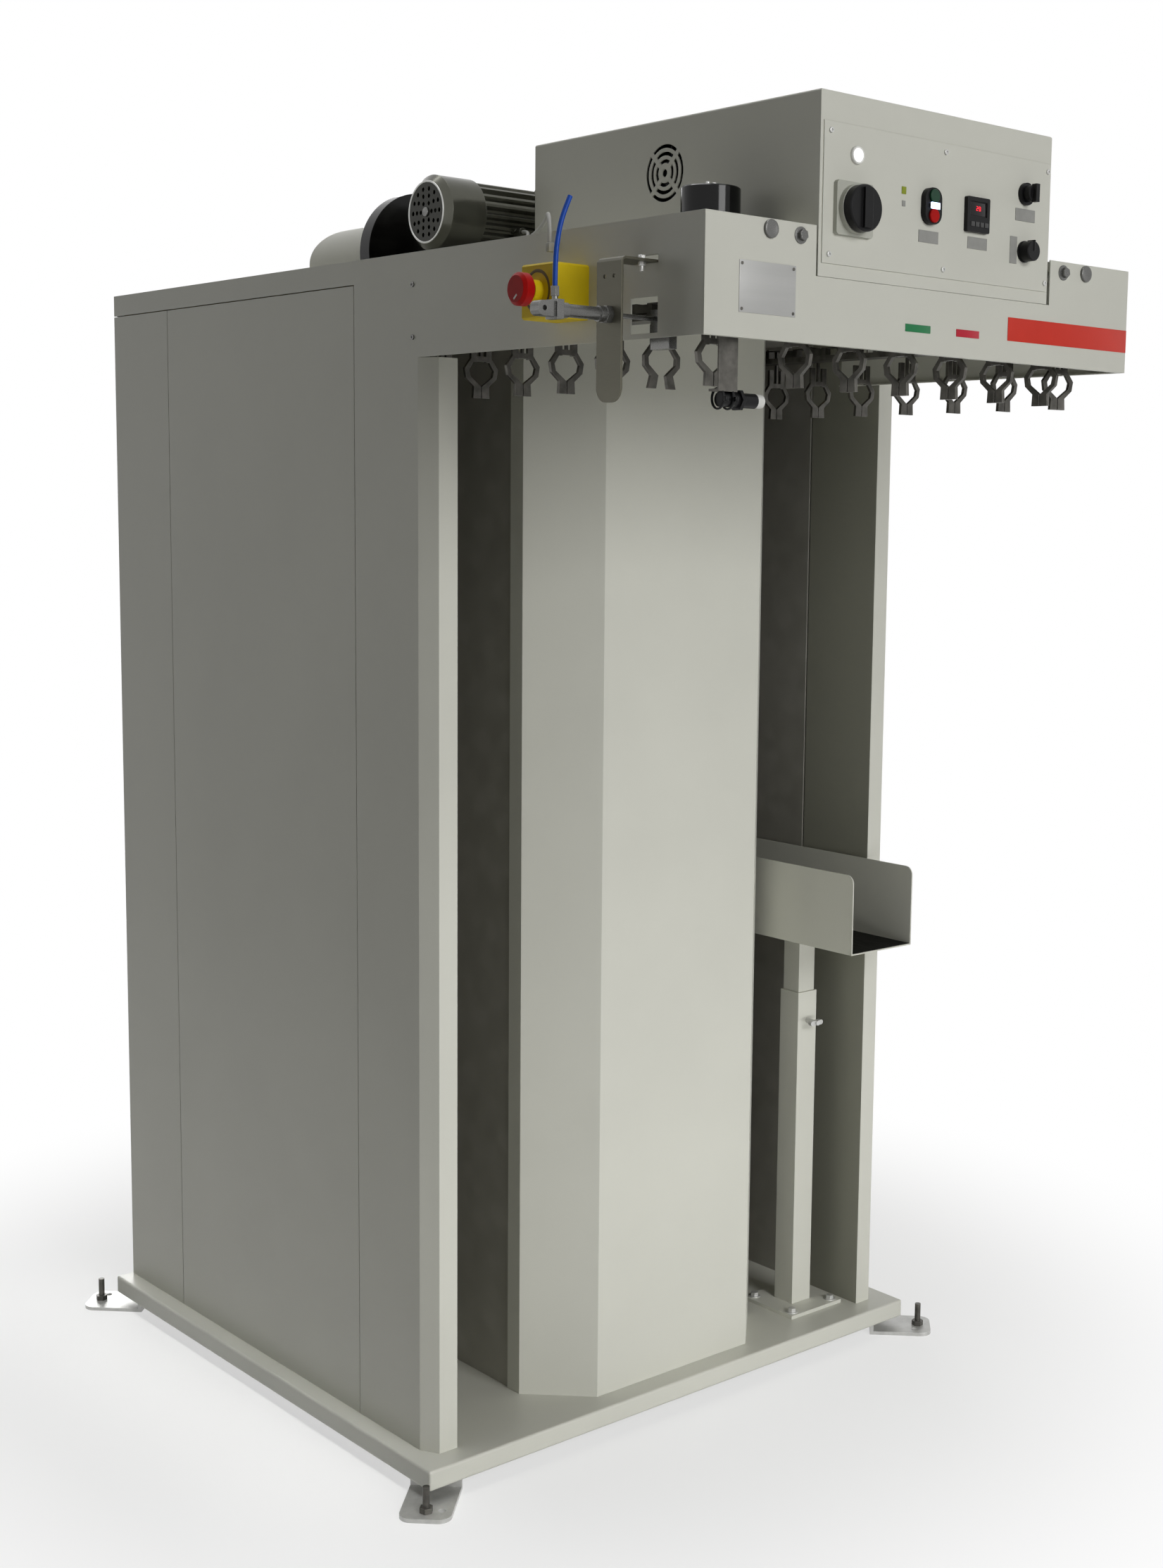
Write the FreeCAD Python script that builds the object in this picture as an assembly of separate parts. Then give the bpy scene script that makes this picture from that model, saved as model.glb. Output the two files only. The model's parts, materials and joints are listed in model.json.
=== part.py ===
import FreeCAD, Part
import math
import os
from FreeCAD import Vector as V

# Clip-conveyor drying oven: an insulated cabinet on a floor tray with a hollow
# hot-air column, two tall slots and an overhanging header that carries the chain.
# Millimetres. X to the right, front faces -Y, Z up, floor at Z = 0.

# Floor tray and feet
tray_width = 990.0
tray_depth = 968.0
tray_height = 28.0
tray_sheet = 3.0
foot_clear = 22.0
foot_width = 75.0
foot_sheet = 6.0
foot_reach = 50.0
anchor_offset = 28.0
anchor_bore = 11.0
anchor_stud = 10.0
anchor_height = 44.0

# Cabinet
sheet = 2.0
ledge_side = 29.0
ledge_front = 39.0
ledge_rear = 5.0
cabinet_top = 1750.0
band_height = 33.0
post_width = 46.0
post_chamfer_x = 15.0
post_chamfer_y = 28.0
post_return = 152.0
strip_depth = 158.0
rear_wrap = 185.0
panel_lip = 14.0
seam = 1.5
wall_thickness = 47.0
liner_sheet = 1.5
ceiling_drop = 58.0

# Column between the two slots
slot_width = 177.0
column_chamfer = 86.0
column_return = 30.0
core_clear = 51.0
core_gap = 0.5
air_slot_width = 12.0
air_slot_height = 260.0
air_slot_count = 4

# Header
header_height = 140.0
header_reach = 549.0
header_setback = 132.0
header_lip = 7.0

# Chain, rail and clips
link_pitch = 31.75
links_per_clip = 3
clip_count = 38
wheel_pitch_radius = 40.0
chain_from_left = 110.0
chain_from_right = 62.0
chain_from_front = 49.0
chain_rise = 50.0
link_width = 12.0
link_plate = 1.5
block_height = 11.0
rail_outer = 9.0
rail_inner = 22.0
rail_height = 8.0
rail_hanger = 10.0
clip_offset = 14.0
clip_drop = 51.0
clip_radius = 28.0
clip_strip = 7.0
clip_depth = 5.0
clip_bar = 8.0
clip_jaw = 16.0
clip_jaw_width = 13.5
clip_spread = 9.0
hub_radius = 12.0
hub_length = 20.0
shaft_radius = 6.0
run_fit = 0.05

# Chain drive unit on the header
drive_radius = 37.0
drive_height = 52.0
drive_shift_x = -28.0
drive_shift_y = 37.0
gear_height = 12.0
gear_width = 94.0
gear_depth = 104.0

# Control box and its panel
box_inset = 183.0
box_width = 437.0
box_depth = 557.0
box_height = 162.0
box_chin = 57.0
box_gap = 3.0
box_seat = 0.4
panel_margin_x = 5.0
panel_top_gap = 36.0
panel_height = 167.0
panel_sheet = 1.5

# Parts on the control box, across and up from the panel's lower left corner
isolator_across = 50.0
isolator_up = 67.0
isolator_size = 64.0
isolator_depth = 6.0
isolator_radius = 28.0
lamp_across = 56.0
lamp_up = 132.0
button_across = 190.0
button_up = 86.0
button_width = 31.0
button_height = 45.0
button_offset = 12.0
button_radius = 8.6
controller_across = 279.0
controller_up = 84.5
controller_size = 44.0
selector_across = 378.0
selector_up = 122.0
dial_across = 379.0
dial_up = 48.0
fan_share = 0.507
fan_rise = 94.0
fan_size = 80.0

# Roof machinery
motor_gap = 66.0
motor_axis = 72.0
motor_inset = 81.0
cowl_length = 67.0
cowl_radius = 52.0
cowl_face = 42.0
motor_length = 217.0
motor_radius = 49.0
fin_depth = 6.0
fin_count = 20
scroll_radius = 66.0
scroll_width = 80.0
throat_x = 60.0
throat_y = 56.0
drum_inset = 205.0
drum_gap = 142.0
drum_radius = 93.0
drum_rise = 37.0
drum_length = 25.0
hood_length = 182.0
hood_height = 90.0
hood_width = 138.0

# Clip opener and emergency stop on the left cheek
opener_back = 105.5
opener_rise = 24.0
opener_stand = 54.0
opener_stroke = 33.0
bracket_width = 45.0
bracket_drop = 101.0
bracket_rise = 66.0
bracket_sheet = 3.0
barrel_radius = 7.6
cylinder_length = 109.0
rod_radius = 3.0
stop_back = 242.5
stop_rise = 60.5
stop_size = 66.0
stop_depth = 54.0
stop_radius = 20.0
stop_neck = 13.0

# Motor cable and air hose
gland_back = 280.0
gland_drop = 20.0
gland_radius = 6.0
cable_radius = 2.5
hose_radius = 3.0

# Clip sensor
sensor_inset = 63.0
sensor_back = 34.0
sensor_drop = 70.0
sensor_radius = 8.9
sensor_length = 56.0
sensor_plate_width = 30.0
sensor_plate = 3.0

# Delivery chute
chute_clear = 31.0
chute_side_gap = 4.0
chute_overhang = 107.0
chute_length = 400.0
chute_floor = 703.0
chute_height = 130.0
chute_corner = 14.0
chute_post_back = 81.0
chute_post_size = 43.0
chute_post_wall = 3.0
chute_post_drop = 100.0
chute_tube_fit = 0.3
chute_tube_length = 400.0
chute_flange = 120.0

# Places that follow from the sizes above
tray_top = foot_clear + tray_height
wall_x = tray_width / 2 - ledge_side
cheek = -wall_x
front_y = -tray_depth / 2 + ledge_front
rear_y = tray_depth / 2 - ledge_rear
header_front_y = front_y - header_reach
header_bottom = cabinet_top - header_height
header_right_x = wall_x - header_setback
roof_top = cabinet_top - sheet
roof_bottom = roof_top - sheet
ceiling = roof_top - ceiling_drop
liner_x = wall_x - wall_thickness
slab_outer_x = wall_x - panel_lip - 3.0
liner_front_y = front_y + post_return + 3.0
liner_rear_y = rear_y - wall_thickness
panel_front_y = front_y + post_chamfer_y + strip_depth
panel_rear_y = rear_y - rear_wrap
band_bottom = cabinet_top - band_height
column_x = wall_x - post_width - slot_width
chain_left = cheek + chain_from_left
chain_right = header_right_x - chain_from_right
chain_front = header_front_y + chain_from_front
chain_height = header_bottom + chain_rise
wheel_left = chain_left + wheel_pitch_radius
wheel_right = chain_right - wheel_pitch_radius
wheel_front = chain_front + wheel_pitch_radius
link_count = clip_count * links_per_clip
loop_length = link_count * link_pitch
cross_run = wheel_right - wheel_left
side_run = (loop_length - 2 * math.pi * wheel_pitch_radius) / 2 - cross_run
wheel_rear = wheel_front + side_run
core_rear_y = wheel_rear - core_clear
chain_bottom = chain_height - block_height / 2 - link_plate
chain_top = chain_height + block_height / 2 + link_plate
rail_bottom = chain_bottom - rail_height
box_left = cheek + box_inset
box_right = box_left + box_width
box_rear_y = header_front_y + box_depth
box_top = roof_top + box_height
box_bottom = roof_top - box_chin
panel_left = box_left + panel_margin_x
panel_face = header_front_y - panel_sheet
panel_bottom = box_top - panel_top_gap - panel_height
fan_y = header_front_y + fan_share * box_depth
fan_z = roof_top + fan_rise
motor_y = box_rear_y + motor_gap + cowl_radius
motor_z = roof_top + motor_axis
motor_left = cheek + motor_inset
cowl_right = motor_left + cowl_length
motor_right = motor_left + motor_length
scroll_right = motor_right + scroll_width
scroll_middle = motor_right + scroll_width / 2
drum_x = cheek + drum_inset
drum_y = motor_y + cowl_radius + drum_gap
opener_y = header_front_y + opener_back
opener_z = header_bottom + opener_rise
stop_y = header_front_y + stop_back
stop_z = header_bottom + stop_rise
gland_y = header_front_y + gland_back
gland_z = cabinet_top - gland_drop
hose_x = cheek - opener_stand - 0.73 * cylinder_length
hose_foot = opener_z + 26.0
sensor_x = cheek + sensor_inset
sensor_y = header_front_y + sensor_back
chute_left = column_x + chute_clear
chute_right = liner_x - chute_side_gap
chute_middle = (chute_left + chute_right) / 2
chute_front = front_y - chute_overhang
chute_post_y = front_y + chute_post_back
chute_post_top = chute_floor - chute_post_drop

# Cable from the motor's gland round the control box and over the cheek's edge
cable_start = (cowl_right + 60.0, motor_y - motor_radius - 8.0, motor_z - 20.0)
cable_route = [
    cable_start,
    (cable_start[0], cable_start[1] - 22.0, cable_start[2]),
    (box_left - 30.0, box_rear_y + 4.0, roof_top + 10.0),
    (box_left - 90.0, box_rear_y - 90.0, roof_top + 6.0),
    (cheek + 34.0, gland_y + 62.0, roof_top + 8.0),
    (cheek - gland_radius, gland_y, roof_top + 28.0),
    (cheek - gland_radius, gland_y, gland_z + gland_radius),
]

# Air hose that stands up from the opener's fitting
hose_route = [
    (hose_x, opener_y, hose_foot), (hose_x, opener_y, hose_foot + 30.0),
    (hose_x + 4.0, opener_y, hose_foot + 58.0), (hose_x + 11.0, opener_y, hose_foot + 82.0),
    (hose_x + 21.0, opener_y, hose_foot + 102.0),
]


def box(x0, x1, y0, y1, z0, z1):
    """Block between two corners."""
    return Part.makeBox(x1 - x0, y1 - y0, z1 - z0, V(x0, y0, z0))


def rod(start, axis, radius, length):
    """Round bar from a start point."""
    return Part.makeCylinder(radius, length, V(*start), V(*axis))


def ring(start, axis, outer, inner, length):
    """Round bar with a bore."""
    return rod(start, axis, outer, length).cut(rod(start, axis, inner, length))


def slab(points, direction):
    """Straight-sided outline pushed along a direction."""
    corners = [V(*p) for p in points]
    return Part.Face(Part.makePolygon(corners + corners[:1])).extrude(V(*direction))


def upright(points, z0, z1):
    """Plan outline pushed up from z0 to z1."""
    return slab([(x, y, z0) for x, y in points], (0, 0, z1 - z0))


def cross_plate(points, y0, y1):
    """Front-view outline pushed back from y0 to y1."""
    return slab([(x, y0, z) for x, z in points], (0, y1 - y0, 0))


def side_plate(points, x0, x1):
    """Side-view outline pushed across from x0 to x1."""
    return slab([(x0, y, z) for y, z in points], (x1 - x0, 0, 0))


def shifted(points, distance):
    """Open outline moved sideways to its left with mitred corners."""
    moved = []
    for i, (x, y) in enumerate(points):
        normals = []
        for a, b in ((i - 1, i), (i, i + 1)):
            if a < 0 or b >= len(points):
                continue
            run_x = points[b][0] - points[a][0]
            run_y = points[b][1] - points[a][1]
            size = math.hypot(run_x, run_y)
            normals.append((-run_y / size, run_x / size))
        sum_x = sum(n[0] for n in normals) / len(normals)
        sum_y = sum(n[1] for n in normals) / len(normals)
        scale = distance / (sum_x ** 2 + sum_y ** 2)
        moved.append((x + sum_x * scale, y + sum_y * scale))
    return moved


def folded(points, thickness, z0, z1):
    """Folded sheet whose outer plan line is given, thickness to its left."""
    return upright(points + shifted(points, thickness)[::-1], z0, z1)


def hexagon(start, axis, flats, length):
    """Hexagonal bar along X, Y or Z."""
    corner = flats / math.sqrt(3)
    corners = []
    for i in range(6):
        a = corner * math.cos(i * math.pi / 3)
        b = corner * math.sin(i * math.pi / 3)
        if axis[0]:
            offset = (0, a, b)
        elif axis[1]:
            offset = (b, 0, a)
        else:
            offset = (a, b, 0)
        corners.append(tuple(s + o for s, o in zip(start, offset)))
    return slab(corners, [length * c for c in axis])


def joined(first, *others):
    """One solid from touching pieces."""
    return first.multiFuse(list(others)).removeSplitter()


def mirrored(shape):
    """The same piece on the other side of the machine."""
    return shape.mirror(V(0, 0, 0), V(1, 0, 0))


def tray():
    outer = box(-tray_width / 2, tray_width / 2, -tray_depth / 2, tray_depth / 2, foot_clear, tray_top)
    rounded = [e for e in outer.Edges if e.BoundBox.ZMax > foot_clear + 1]
    outer = outer.makeFillet(tray_sheet, rounded)
    inset_x = tray_width / 2 - tray_sheet
    inset_y = tray_depth / 2 - tray_sheet
    return outer.cut(box(-inset_x, inset_x, -inset_y, inset_y, foot_clear - 1, tray_top - tray_sheet))


def corner_frame(shape, side_x, side_y):
    """Turn a piece drawn along +X onto a tray corner's diagonal."""
    turned = shape.copy()
    turned.rotate(V(0, 0, 0), V(0, 0, 1), math.degrees(math.atan2(side_y, side_x)))
    turned.translate(V(side_x * tray_width / 2, side_y * tray_depth / 2, 0))
    return turned


def feet():
    """Bent corner plates with a stud hole and a spare hole, and their anchor studs with nuts."""
    inner = -foot_width / 2 - 3 * foot_sheet
    tongue = inner - foot_width / 2
    under_tray = tray_top - tray_sheet
    profile = [
        (foot_reach, 0), (foot_reach, foot_sheet), (inner + foot_sheet, foot_sheet),
        (inner + foot_sheet, under_tray), (tongue, under_tray),
        (tongue, under_tray - foot_sheet), (inner, under_tray - foot_sheet), (inner, 0),
    ]
    half = foot_width / 2
    plate = slab([(d, -half, z) for d, z in profile], (0, foot_width, 0))
    nose = [e for e in plate.Edges
            if abs(e.BoundBox.XMin - foot_reach) < 0.01 and e.BoundBox.ZLength > foot_sheet / 2]
    plate = plate.makeFillet(foot_width / 4, nose)
    plate = plate.cut(rod((anchor_offset, 0, 0), (0, 0, 1), anchor_bore / 2, foot_sheet))
    spare = (anchor_offset - anchor_bore / 2, foot_width / 4 + 3, 0)
    plate = plate.cut(rod(spare, (0, 0, 1), anchor_bore / 2, foot_sheet))
    stud = rod((anchor_offset, 0, 0), (0, 0, 1), anchor_stud / 2, anchor_height)
    nut = hexagon((anchor_offset, 0, foot_sheet), (0, 0, 1), 1.7 * anchor_stud, 0.8 * anchor_stud)
    nut = nut.cut(rod((anchor_offset, 0, foot_sheet), (0, 0, 1), anchor_stud / 2 + run_fit, anchor_stud))
    corners = [(sx, sy) for sx in (-1, 1) for sy in (-1, 1)]
    other_hand = plate.mirror(V(0, 0, 0), V(0, 1, 0))
    plates = [corner_frame(plate if sx == sy else other_hand, sx, sy) for sx, sy in corners]
    fixings = [corner_frame(piece, sx, sy) for sx, sy in corners for piece in (stud, nut)]
    return plates, fixings


def post_line():
    inner = -wall_x + post_width
    return [
        (-wall_x, front_y + post_chamfer_y), (-wall_x + post_chamfer_x, front_y),
        (inner, front_y), (inner, front_y + post_return),
    ]


def frame_outline(front_edge, front_bottom):
    return [
        (rear_y, cabinet_top), (front_edge, cabinet_top), (front_edge, front_bottom),
        (front_y + post_chamfer_y, front_bottom), (front_y + post_chamfer_y, tray_top),
        (panel_front_y, tray_top), (panel_front_y, band_bottom), (rear_y, band_bottom),
    ]


def frame_sheets():
    left = side_plate(frame_outline(header_front_y + sheet, header_bottom), cheek, cheek + sheet)
    left = joined(left, folded(post_line(), sheet, tray_top, header_bottom))
    slot_half = bracket_width / 2 + 2
    y0 = opener_y - slot_half
    y1 = opener_y + slot_half
    flange_z = opener_z + bracket_rise - bracket_sheet
    flange_slot = box(cheek, cheek + sheet, y0, y1, flange_z, flange_z + 9)
    rod_window = box(cheek, cheek + sheet, y0, y1, header_bottom + 6, opener_z + 24)
    gland_hole = rod((cheek, gland_y, gland_z), (1, 0, 0), gland_radius - 2 + run_fit, sheet)
    left = left.cut(flange_slot).cut(rod_window).cut(gland_hole)
    left = joined(left, box(cheek, cheek + 26, y0, y1, flange_z - sheet, flange_z))
    right = side_plate(frame_outline(front_y + post_chamfer_y, tray_top + 1), cheek, cheek + sheet)
    right = joined(right, folded(post_line(), sheet, tray_top, roof_bottom))
    return left, mirrored(right)


def side_panel():
    y0 = panel_front_y + seam
    y1 = panel_rear_y - seam
    z0 = tray_top
    z1 = band_bottom - seam
    pan = box(cheek, cheek + panel_lip, y0, y1, z0, z1)
    return pan.cut(box(cheek + sheet, cheek + panel_lip, y0 + sheet, y1 - sheet, z0 + sheet, z1 - sheet))


def rear_cover():
    line = [(wall_x, panel_rear_y), (wall_x, rear_y), (-wall_x, rear_y), (-wall_x, panel_rear_y)]
    return folded(line, sheet, tray_top, band_bottom - seam)


def throat(grow, z0, z1):
    half_x = throat_x / 2 + grow
    half_y = throat_y / 2 + grow
    return box(scroll_middle - half_x, scroll_middle + half_x, motor_y - half_y, motor_y + half_y, z0, z1)


def roof():
    inner = wall_x - sheet
    post_edge = front_y + post_chamfer_y * (post_chamfer_x - sheet) / post_chamfer_x
    plate = upright([
        (-inner, front_y + sheet), (header_right_x, front_y + sheet), (header_right_x, front_y),
        (wall_x - post_chamfer_x, front_y), (inner, post_edge), (inner, rear_y), (-inner, rear_y),
    ], roof_bottom, roof_top)
    rear_lip = box(-inner, inner, rear_y - sheet, rear_y, band_bottom, roof_top)
    lintel = box(-inner, inner - post_width, front_y + sheet, front_y + 2 * sheet, ceiling, roof_top)
    return joined(plate, rear_lip, lintel).cut(throat(0.5, roof_bottom, roof_top))


def insulation():
    left = box(-slab_outer_x, -liner_x - liner_sheet, liner_front_y + sheet, liner_rear_y, tray_top, ceiling)
    rear = box(-slab_outer_x, slab_outer_x, liner_rear_y + liner_sheet, rear_y - sheet - 1, tray_top, ceiling)
    top = box(-slab_outer_x, slab_outer_x, liner_front_y + sheet, rear_y - sheet - 1,
              ceiling + liner_sheet, roof_bottom - 0.5)
    return [left, mirrored(left), rear, top.cut(throat(0.5, ceiling, roof_top))]


def liner():
    line = [(-liner_x, liner_rear_y), (-liner_x, liner_front_y), (-wall_x + sheet + 0.5, liner_front_y)]
    left = folded(line, -liner_sheet, tray_top, ceiling)
    rear = box(-slab_outer_x, slab_outer_x, liner_rear_y, liner_rear_y + liner_sheet, tray_top, ceiling)
    top = box(-slab_outer_x, slab_outer_x, liner_front_y + sheet, rear_y - sheet - 1,
              ceiling, ceiling + liner_sheet)
    return [left, mirrored(left), rear, top.cut(throat(0.5, ceiling, roof_top))]


def column_front():
    shoulder = front_y + column_chamfer
    facet = column_x - column_chamfer
    line = [
        (-column_x, shoulder + column_return), (-column_x, shoulder), (-facet, front_y),
        (facet, front_y), (column_x, shoulder), (column_x, shoulder + column_return),
    ]
    return folded(line, sheet, tray_top, ceiling)


def column_core():
    x = column_x - sheet - core_gap
    y0 = front_y + column_chamfer + 2 * sheet
    duct = box(-x, x, y0, core_rear_y, tray_top, ceiling)
    duct = duct.cut(box(-x + sheet, x - sheet, y0 + sheet, core_rear_y - sheet, tray_top, ceiling))
    depth = core_rear_y - y0
    for i in range(air_slot_count):
        y = y0 + depth * (0.4 + 0.5 * i / (air_slot_count - 1))
        for level in (0.2, 0.45, 0.7):
            z = tray_top + (ceiling - tray_top) * level
            duct = duct.cut(box(-x, x, y, y + air_slot_width, z, z + air_slot_height))
    return duct


def header_shell():
    y0 = header_front_y
    notch_left = box_left - box_gap
    notch_right = box_right + 2 * box_gap
    front = cross_plate([
        (cheek, header_bottom), (header_right_x, header_bottom), (header_right_x, cabinet_top),
        (notch_right, cabinet_top), (notch_right, box_bottom - box_seat),
        (notch_left, box_bottom - box_seat), (notch_left, cabinet_top), (cheek, cabinet_top),
    ], y0, y0 + sheet)
    lip = box(cheek + sheet, header_right_x - sheet, y0 + sheet, y0 + header_lip,
              header_bottom, header_bottom + sheet)
    right = box(header_right_x - sheet, header_right_x, y0 + sheet, front_y + sheet,
                header_bottom, cabinet_top)
    right_lip = box(header_right_x - header_lip, header_right_x - sheet, y0 + header_lip, front_y + sheet,
                    header_bottom, header_bottom + sheet)
    top = box(cheek + sheet, header_right_x - sheet, y0 + sheet, front_y + sheet, roof_bottom, roof_top)
    top = top.cut(box(notch_left, notch_right, y0, y0 + header_lip + sheet + 12, roof_bottom, roof_top))
    top = top.cut(rod((wheel_left, wheel_front, roof_bottom), (0, 0, 1), 10.0, sheet))
    return joined(front, lip), joined(right, right_lip), top


def loop_point(s):
    """Place and heading on the chain loop at a distance from the left tangent point."""
    quarter = math.pi / 2 * wheel_pitch_radius
    s = s % loop_length
    corners = [
        (side_run, (chain_left, wheel_front), 90.0, (wheel_left, wheel_rear)),
        (cross_run, (wheel_left, wheel_rear + wheel_pitch_radius), 0.0, (wheel_right, wheel_rear)),
        (side_run, (chain_right, wheel_rear), -90.0, (wheel_right, wheel_front)),
        (cross_run, (wheel_right, chain_front), 180.0, (wheel_left, wheel_front)),
    ]
    for run, start, heading, centre in corners:
        if s <= run:
            along = math.radians(heading)
            return start[0] + s * math.cos(along), start[1] + s * math.sin(along), heading
        s -= run
        if s <= quarter:
            heading -= math.degrees(s / wheel_pitch_radius)
            outward = math.radians(heading + 90)
            return (centre[0] + wheel_pitch_radius * math.cos(outward),
                    centre[1] + wheel_pitch_radius * math.sin(outward), heading)
        s -= quarter
    return chain_left, wheel_front, 90.0


def on_loop(shape, x, y, heading):
    """Put a piece drawn at the origin, heading along +X, onto the loop."""
    placed = shape.copy()
    placed.rotate(V(0, 0, 0), V(0, 0, 1), heading)
    placed.translate(V(x, y, 0))
    return placed


def chain():
    """Block chain lying flat: solid blocks alternate with pairs of side plates."""
    half = link_width / 2
    pieces = []
    for i in range(link_count):
        x0, y0, _ = loop_point(i * link_pitch)
        x1, y1, _ = loop_point((i + 1) * link_pitch)
        chord = math.hypot(x1 - x0, y1 - y0)
        along = math.degrees(math.atan2(y1 - y0, x1 - x0))
        low = chain_height - block_height / 2
        high = chain_height + block_height / 2
        if i % 2:
            spans = [(-half, chord + half, low - link_plate, low),
                     (-half, chord + half, high, high + link_plate)]
        else:
            spans = [(-half / 2, chord + half / 2, low, high)]
        for start, end, z0, z1 in spans:
            pieces.append(on_loop(box(start, end, -half, half, z0, z1), x0, y0, along))
    return pieces


def loop_outline(offset, z):
    """Closed wire round the chain loop, moved outwards by the offset."""
    r = wheel_pitch_radius + offset
    edges = []
    ends = [
        (wheel_left, wheel_front, 270, 180), (wheel_left, wheel_rear, 180, 90),
        (wheel_right, wheel_rear, 90, 0), (wheel_right, wheel_front, 360, 270),
    ]

    def at(cx, cy, angle):
        a = math.radians(angle)
        return V(cx + r * math.cos(a), cy + r * math.sin(a), z)

    for i, (cx, cy, a0, a1) in enumerate(ends):
        nx, ny, n0, _ = ends[(i + 1) % 4]
        edges.append(Part.Arc(at(cx, cy, a0), at(cx, cy, (a0 + a1) / 2), at(cx, cy, a1)).toShape())
        edges.append(Part.LineSegment(at(cx, cy, a1), at(nx, ny, n0)).toShape())
    return Part.Wire(edges)


def rail():
    outer = Part.Face(loop_outline(rail_outer, rail_bottom))
    inner = Part.Face(loop_outline(-rail_inner, rail_bottom))
    plate = outer.cut(inner).extrude(V(0, 0, rail_height))
    inset = rail_inner - rail_hanger / 2
    spots = []
    for x in (chain_left + inset, chain_right - inset):
        for y in (header_front_y + 0.3 * header_reach, header_front_y + 0.75 * header_reach):
            spots.append((x, y, roof_bottom))
        for y in (liner_front_y + 120, wheel_rear - 60):
            spots.append((x, y, ceiling))
    for x in (wheel_left + 0.3 * cross_run, wheel_left + 0.7 * cross_run):
        spots.append((x, chain_front + inset, roof_bottom))
        spots.append((x, wheel_rear + wheel_pitch_radius - inset, ceiling))
    half = rail_hanger / 2
    hangers = [box(x - half, x + half, y - half, y + half, chain_bottom, z) for x, y, z in spots]
    return plate, hangers


def clip_arm(spread):
    """One spring arm, drawn across the run, with its jaw swung out by the spread."""
    middle = rail_bottom - clip_drop
    ring_in = clip_radius - clip_strip
    tab = clip_bar + 9.0
    waist = -0.68 * clip_radius
    foot = waist - clip_jaw
    line = [
        (clip_bar, clip_drop - 8), (tab, clip_drop - 8), (tab, 19.0), (clip_radius, 5.0),
        (0.92 * clip_radius, -8.0), (clip_jaw_width - 1, waist), (clip_jaw_width, foot), (0.8, foot),
        (0.8, waist), (0.9 * ring_in, -6.0), (ring_in, 3.0), (clip_jaw_width, 14.0), (clip_bar, 14.0),
    ]
    points = []
    for u, v in line:
        lean = spread * max(0.0, (22.0 - v) / (22.0 - foot)) ** 1.5
        points.append((-clip_depth / 2, clip_offset + u + lean, middle + v))
    return slab(points, (clip_depth, 0, 0))


def clip_hanger():
    """Tab on the chain, a stem down past the rail and the cross bar between the two arms."""
    low = rail_bottom - clip_drop + 15.0
    high = low + 7.0
    near = clip_offset - 1.5
    far = clip_offset + 1.5
    line = [
        (-link_width / 2, chain_top), (near, chain_top), (near, high), (clip_offset - clip_bar, high),
        (clip_offset - clip_bar, low), (clip_offset + clip_bar, low), (clip_offset + clip_bar, high),
        (far, high), (far, chain_top + 2), (-link_width / 2, chain_top + 2),
    ]
    return slab([(-clip_depth / 2, v, z) for v, z in line], (clip_depth, 0, 0))


def clips():
    hanger = clip_hanger()
    shut = clip_arm(0.0)
    opened = clip_arm(clip_spread)
    pieces = []
    for i in range(clip_count):
        x, y, heading = loop_point(i * links_per_clip * link_pitch)
        arm = opened if i == 1 else shut
        other = arm.mirror(V(0, clip_offset, 0), V(0, 1, 0))
        for piece in (hanger, arm, other):
            pieces.append(on_loop(piece, x, y, heading))
    return pieces


def wheel(x, y, bore):
    """Plain wheel that the chain's blocks lie round, with its hub."""
    rim = wheel_pitch_radius * math.cos(link_pitch / wheel_pitch_radius / 2) - link_width / 2 - 1.0
    half = block_height / 2 - 1.5
    low = chain_height - half
    body = joined(rod((x, y, low), (0, 0, 1), rim, 2 * half),
                  rod((x, y, low - 2), (0, 0, 1), hub_radius, hub_length))
    if bore:
        body = body.cut(rod((x, y, low - 2), (0, 0, 1), bore, hub_length))
    return body


def drive_wheel():
    top = roof_top + gear_height - 2
    shaft = rod((wheel_left, wheel_front, chain_height), (0, 0, 1), shaft_radius + 2, top - chain_height)
    return joined(wheel(wheel_left, wheel_front, 0), shaft)


def idler_shaft(x, y, top):
    """Fixed shaft under a flange, with a collar below the wheel's hub."""
    hub_low = chain_height - block_height / 2 - 0.5
    hub_top = hub_low + hub_length
    collar = rod((x, y, hub_low - 3), (0, 0, 1), hub_radius - 2, 3.0)
    neck = rod((x, y, hub_low - 3), (0, 0, 1), shaft_radius, top - hub_low)
    stem = rod((x, y, hub_top + 0.2), (0, 0, 1), shaft_radius + 3, top - hub_top - 0.2)
    flange = rod((x, y, top - 5), (0, 0, 1), 2 * hub_radius, 5.0)
    return joined(collar, neck, stem, flange)


def drive_unit():
    """Flat gearbox round the drive shaft with the motor can on it."""
    x = wheel_left + drive_shift_x
    y = wheel_front + drive_shift_y
    gear_right = wheel_left + hub_radius + 14
    gear_front = wheel_front - hub_radius - 14
    gear = box(gear_right - gear_width, gear_right, gear_front, gear_front + gear_depth,
               roof_top, roof_top + gear_height)
    bore = rod((wheel_left, wheel_front, roof_top), (0, 0, 1), shaft_radius + 2 + run_fit, gear_height - 1)
    gear = gear.cut(bore)
    low = roof_top + gear_height
    top = roof_top + drive_height
    can = rod((x, y, low), (0, 0, 1), drive_radius, top - low)
    can = can.makeChamfer(1.5, [e for e in can.Edges if e.BoundBox.ZMin > top - 1])
    studs = [rod((x + d, y, top), (0, 0, 1), 2.5, 6.0) for d in (-5.0, 6.0)]
    return joined(gear, can, *studs)


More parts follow.
